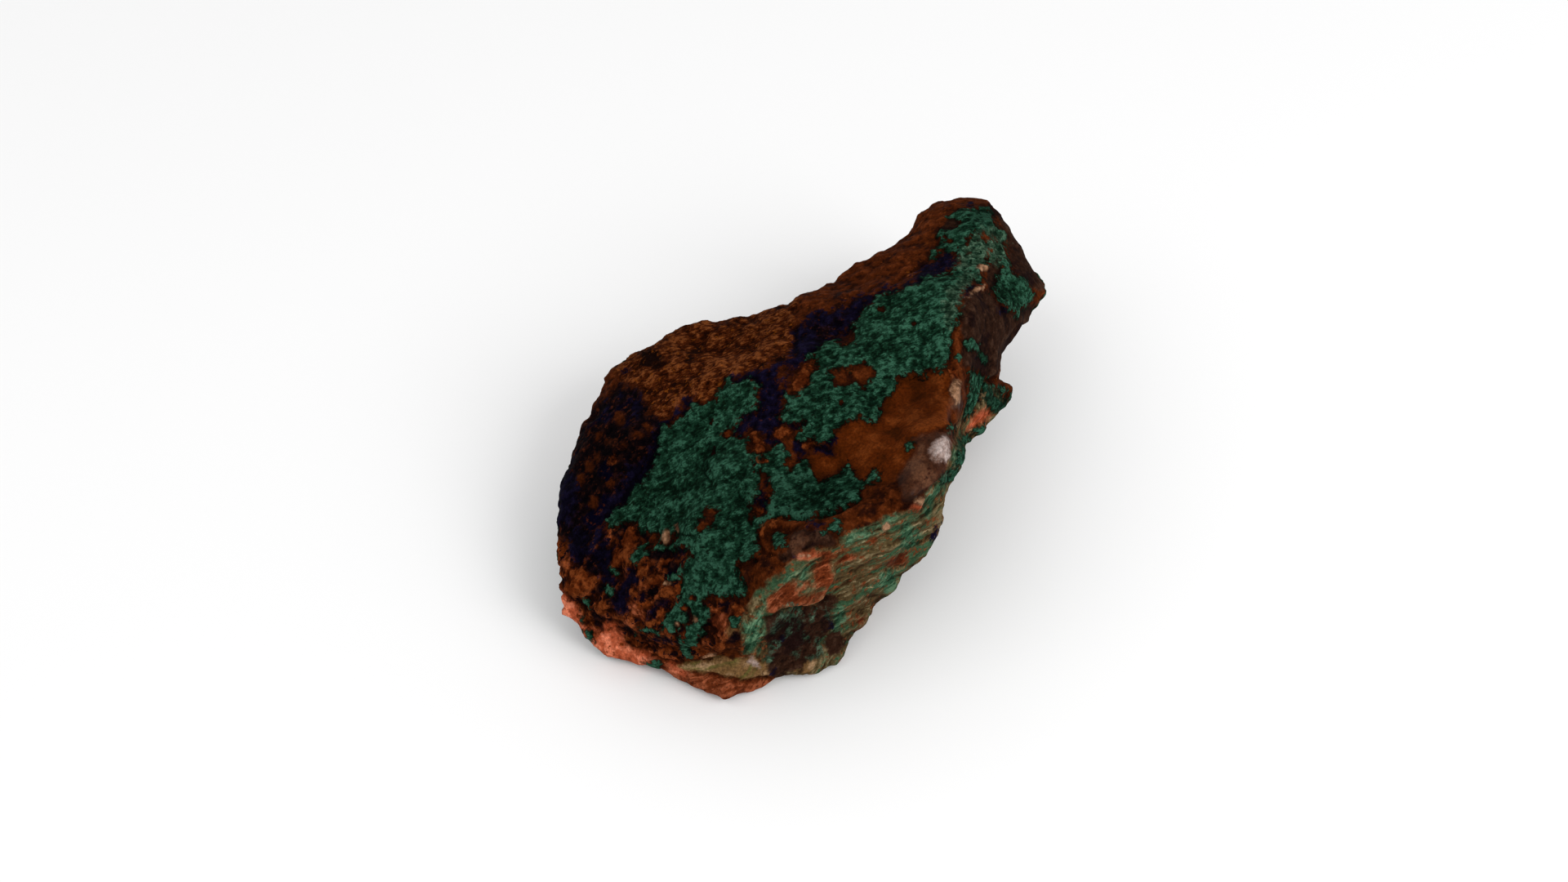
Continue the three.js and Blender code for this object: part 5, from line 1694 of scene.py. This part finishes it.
@dataclass(frozen=True)
class MineralMap:
    """Works out where each mineral lies. Sizes are in millimetres.

    Drawn edges wander by noise, and no depth is more than the deepest one. The depth in a small
    oval patch is multiplied by the spot slope, which makes its edge crisper.
    """

    wander_reach: float = 0.45
    wander_size: float = 1.8
    wander_seeds: tuple[float, float] = (5.0, 9.0)
    deepest: float = 4.0
    spot_slope: float = 1.7

    def _drawn(self, mineral: Mineral, seen: Array) -> Array:
        """Measures seen places against what is drawn of a mineral.

        Args:
            mineral: The mineral.
            seen: Places in millimetres as seen, one a row.

        Returns:
            Millimetres inside the mineral's patches, negative outside them.
        """
        depth = np.full(len(seen), -self.deepest)
        for outline in PATCHES.get(mineral, ()):
            depth = np.maximum(depth, depth_inside(seen, outline))
        for hole in HOLES.get(mineral, ()):
            depth = np.minimum(depth, -depth_inside(seen, hole))
        for gap in GAPS.get(mineral, ()):
            depth = np.minimum(depth, -self.spot_slope * gap.depth(seen))
        for spot in SPOTS.get(mineral, ()):
            depth = np.maximum(depth, self.spot_slope * spot.depth(seen))
        return np.clip(depth, -self.deepest, self.deepest)

    def fields(self, points: Array, seen: Array, shown: Array) -> dict[Mineral, Array]:
        """Works out how deep each place lies in each mineral.

        Args:
            points: Places on the stone, one a row.
            seen: Where they are seen.
            shown: 1 where a place is drawn on, 0 where it is hidden.

        Returns:
            How far each place lies inside the mineral's patches.
        """
        wander = [rough(points, self.wander_size, seed) for seed in self.wander_seeds]
        ragged = seen + self.wander_reach * np.column_stack(wander)
        fields = {}
        for mineral in Mineral:
            grown = np.clip(WILD[mineral].depth(points), -self.deepest, self.deepest)
            fields[mineral] = shown * self._drawn(mineral, ragged) + (1 - shown) * grown
        return fields


@dataclass
class Stone:
    """The specimen itself. Sizes are in metres unless they say otherwise.

    A count of rounds is how often the mesh is averaged. Facing runs from 1, squarely towards the
    eye, over 0, edge on, to -1.
    """

    source: bpy.types.Object
    view: Viewpoint
    name: str = "crusted_stone"
    voxel: float = 0.405 * MM
    same_point: float = 0.001 * MM
    evening_steps: int = 2
    evening_rounds: int = 7
    closest: float = 0.16 * MM
    rim_rounds: int = 3
    calm_rounds: int = 10
    hidden_facing: float = -0.5
    drawn_facing: float = 0.05
    cover_depths_mm: tuple[float, float] = (-0.4, 0.5)
    knob_size_mm: float = 2.8
    knob_seed: float = 71.5
    bed_stretch: float = 0.14
    grain_rounds: int = 4
    longest_grain: float = 0.22 * MM
    grain_height: float = 0.05 * MM
    lump_rounds: int = 24
    lump_height: float = 0.25 * MM
    relief_shade_share: float = 0.6

    def _fine_mesh(self) -> bpy.types.Mesh:
        """Remeshes a copy of the solid.

        Returns:
            An even, fine mesh, still with the solid's facets.
        """
        mesh = self.source.data.copy()
        mesh.materials.clear()
        merge_close(mesh, self.same_point)
        holder = bpy.data.objects.new("evening", mesh)
        bpy.context.scene.collection.objects.link(holder)
        remesh = holder.modifiers.new("even", "REMESH")
        remesh.mode = "VOXEL"
        remesh.voxel_size = self.voxel
        fine = evaluated_mesh(holder)
        bpy.data.objects.remove(holder)
        for layer in [a.name for a in fine.attributes if a.name.startswith("custom")]:
            fine.attributes.remove(fine.attributes[layer])
        return fine

    def _evened(self, mesh: bpy.types.Mesh) -> Skin:
        """Smooths a mesh, and merges points that crowd at a sharp tip.

        Args:
            mesh: The mesh, which is changed.

        Returns:
            The mesh, ready to work on.
        """
        for _ in range(self.evening_steps):
            skin = Skin(mesh)
            skin.points = skin.averaged(skin.points, self.evening_rounds)
            skin.write()
            merge_close(mesh, self.closest)
        return Skin(mesh)

    def _true_rim(self, skin: Skin) -> None:
        """Moves the rim of the stone, as seen, out where it swells and in where it is hollow.

        Args:
            skin: The stone's fine mesh, which is changed.
        """
        seen = self.view.seen(skin.points)
        right, up, _ = self.view.axes()
        picture = np.stack([right, up])
        for mark in RIMS:
            near = mark.nearness(seen)
            outward = near @ (skin.normals @ picture.T)
            outward /= np.linalg.norm(outward)
            skin.points += mark.height * MM * near[:, None] * (outward @ picture)
        skin.points = skin.averaged(skin.points, self.rim_rounds)
        skin.write()

    def _carve(self, skin: Skin, seen: Array, shown: Array) -> None:
        """Raises the drawn lumps and ridges, and cuts the drawn cracks.

        Args:
            skin: The stone's fine mesh, which is changed.
            seen: Where its points are seen, in millimetres.
            shown: 1 where a point is drawn on, 0 where it is hidden.
        """
        height = np.zeros(len(seen))
        for mark in MARKS:
            height += mark.height * mark.nearness(seen) * shown
        skin.points += skin.normals * (height * MM)[:, None]
        skin.write()

    def _grow_crusts(self, skin: Skin, fields: dict[Mineral, Array]) -> None:
        """Raises the crusts, and stores how high lumps and folds are to stand at each point.

        Args:
            skin: The stone's fine mesh, which is changed.
            fields: How many millimetres each point lies inside each mineral.
        """
        lumps, knobs, folds, raised = (
            np.full(len(skin.points), height)
            for height in (ROCK.lumps, ROCK.knobs, ROCK.folds, ROCK.raised)
        )
        for mineral, finish in FINISHES.items():
            cover = smoothstep(*self.cover_depths_mm, fields[mineral])
            lumps += cover * (finish.lumps - lumps)
            knobs += cover * (finish.knobs - knobs)
            folds += cover * (finish.folds - folds)
            raised += cover * (finish.raised - raised)
        raised += knobs * rough(skin.points / MM, self.knob_size_mm, self.knob_seed)
        skin.points += skin.normals * (raised * MM)[:, None]
        skin.store("lumps", lumps * MM)
        skin.store("folds", folds * MM)

    def _draw(self, skin: Skin) -> None:
        """Lays the minerals, the drawn relief, the beds and the tones of painted light and shade on the mesh.

        Args:
            skin: The stone's fine mesh, which is changed.
        """
        calm = skin.averaged(skin.normals, self.calm_rounds)
        calm /= np.linalg.norm(calm, axis=1, keepdims=True)
        seen = self.view.seen(skin.points)
        facing = self.view.facing(skin.points, calm)
        shown = smoothstep(self.hidden_facing, self.drawn_facing, facing)
        fields = MineralMap().fields(skin.points / MM, seen, shown)
        self._carve(skin, seen, shown)
        self._grow_crusts(skin, fields)
        across, along = distance_to_path(seen, CREST)
        skin.store("bed_along", along * self.bed_stretch * MM)
        skin.store("bed_across", across * MM)
        for mineral, field in fields.items():
            skin.store(mineral.value, field)
        # Painted light and shade on the side that the stone is shown from, partly also lighter and darker
        # colour of its own.
        lights_and_tones = np.prod([light_and_tone.strength(seen) for light_and_tone in LIGHT_AND_TONES], axis=0)
        skin.store("light_and_tone", 1 + shown * (lights_and_tones - 1))
        skin.write()

    def _raise_relief(self, stone: bpy.types.Object) -> None:
        """Runs the relief tree on the stone, and keeps its result as the stone's mesh.

        Args:
            stone: The piece, which is changed.
        """
        tree, values = CrustRelief().build(StoneMaterial().build())
        modifier = stone.modifiers.new("crust relief", "NODES")
        modifier.node_group = tree
        for socket in tree.interface.items_tree:
            if socket.in_out == "INPUT" and socket.name in values:
                modifier[socket.identifier] = values[socket.name]
        mesh = evaluated_mesh(stone)
        stone.modifiers.clear()
        stone.data = mesh

    def _clean_up(self, skin: Skin) -> None:
        """Shortens thorns, and keeps the stone above the surface that it lies on.

        Args:
            skin: The stone's mesh, which is changed.
        """
        near = skin.averaged(skin.points, self.grain_rounds)
        away = skin.points - near
        length = np.maximum(np.linalg.norm(away, axis=1, keepdims=True), NEARLY_NOTHING)
        skin.points = near + away * np.minimum(1, self.longest_grain / length)
        skin.points[:, 2] = np.maximum(skin.points[:, 2], 0)
        skin.write()

    def build(self) -> bpy.types.Object:
        """Makes the stone.

        Returns:
            The finished piece.
        """
        skin = self._evened(self._fine_mesh())
        LOG.info("fine mesh: %d points", len(skin.points))
        self._true_rim(skin)
        self._draw(skin)
        stone = bpy.data.objects.new(self.name, skin.mesh)
        bpy.context.scene.collection.objects.link(stone)
        self._raise_relief(stone)
        skin = Skin(stone.data)
        self._clean_up(skin)
        # How far each point stands out of the nearby and the broader surface, for painted shade in the
        # crevices and painted highlight on the ridges.
        fine = skin.height_over(self.grain_rounds) / self.grain_height
        broad = skin.height_over(self.lump_rounds) / self.lump_height
        relief = self.relief_shade_share * fine + self.relief_shade_share * broad
        skin.store("relief", np.clip(relief, -1, 1))
        skin.mesh.polygons.foreach_set("use_smooth", np.ones(len(skin.mesh.polygons), bool))
        skin.mesh.update()
        LOG.info("stone: %d points, %d faces", len(skin.points), len(skin.mesh.polygons))
        return stone


# ---- the studio ---------------------------------------------------------------------------


@dataclass(frozen=True)
class Lamp:
    """A square soft light, with its place, size and power."""

    name: str
    place: Place
    size: float
    power: float

    def build(self, target: Vector) -> None:
        """Makes the light.

        Args:
            target: What it is turned to.
        """
        light = bpy.data.lights.new(self.name, "AREA")
        light.size = self.size
        light.energy = self.power
        holder = bpy.data.objects.new(self.name, light)
        holder.location = self.place
        holder.rotation_euler = (target - Vector(self.place)).to_track_quat("-Z", "Y").to_euler()
        bpy.context.scene.collection.objects.link(holder)


@dataclass(frozen=True)
class Studio:
    """A pale floor under plain soft light. Lengths are in metres."""

    floor_size: float = 6.0
    floor_drop: float = 0.02 * MM
    floor_tone: float = 0.86
    floor_roughness: float = 0.9
    sky_strength: float = 0.75
    lamps: tuple[Lamp, ...] = (
        Lamp("key_light", (0.10, -0.75, 0.55), 0.6, 5.0),
        Lamp("fill_light", (-0.6, 0.2, 0.7), 0.8, 2.0),
    )

    def _lay_floor(self) -> None:
        """Makes the floor."""
        half = self.floor_size / 2
        corners = [(-half, -half), (half, -half), (half, half), (-half, half)]
        mesh = bpy.data.meshes.new("floor")
        mesh.from_pydata([(x, y, -self.floor_drop) for x, y in corners], [], [(0, 1, 2, 3)])
        material = bpy.data.materials.new("pale_floor")
        material.use_nodes = True
        shader = material.node_tree.nodes["Principled BSDF"]
        shader.inputs["Base Color"].default_value = (self.floor_tone,) * 3 + (1.0,)
        shader.inputs["Roughness"].default_value = self.floor_roughness
        mesh.materials.append(material)
        floor = bpy.data.objects.new("floor", mesh)
        bpy.context.scene.collection.objects.link(floor)

    def build(self, target: Vector) -> None:
        """Makes the floor, the lights and the pale surroundings.

        Args:
            target: What the lights are turned to.
        """
        self._lay_floor()
        for lamp in self.lamps:
            lamp.build(target)
        world = bpy.data.worlds.new("pale_surroundings")
        world.use_nodes = True
        background = world.node_tree.nodes["Background"]
        background.inputs["Color"].default_value = (1.0, 1.0, 1.0, 1.0)
        background.inputs["Strength"].default_value = self.sky_strength
        bpy.context.scene.world = world
        bpy.context.scene.view_settings.view_transform = "Standard"


def main() -> None:
    """Builds the studio and the stone in order."""
    logging.basicConfig(level=logging.INFO, format="%(name)s: %(message)s")
    view = Viewpoint()
    view.place_camera()
    Studio().build(Vector(view.target))
    stone = Stone(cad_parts["stone"], view).build()
    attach(stone, "root")
    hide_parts("stone")
    LOG.info("piece %s rides on root", stone.name)


if __name__ == "__main__":
    main()
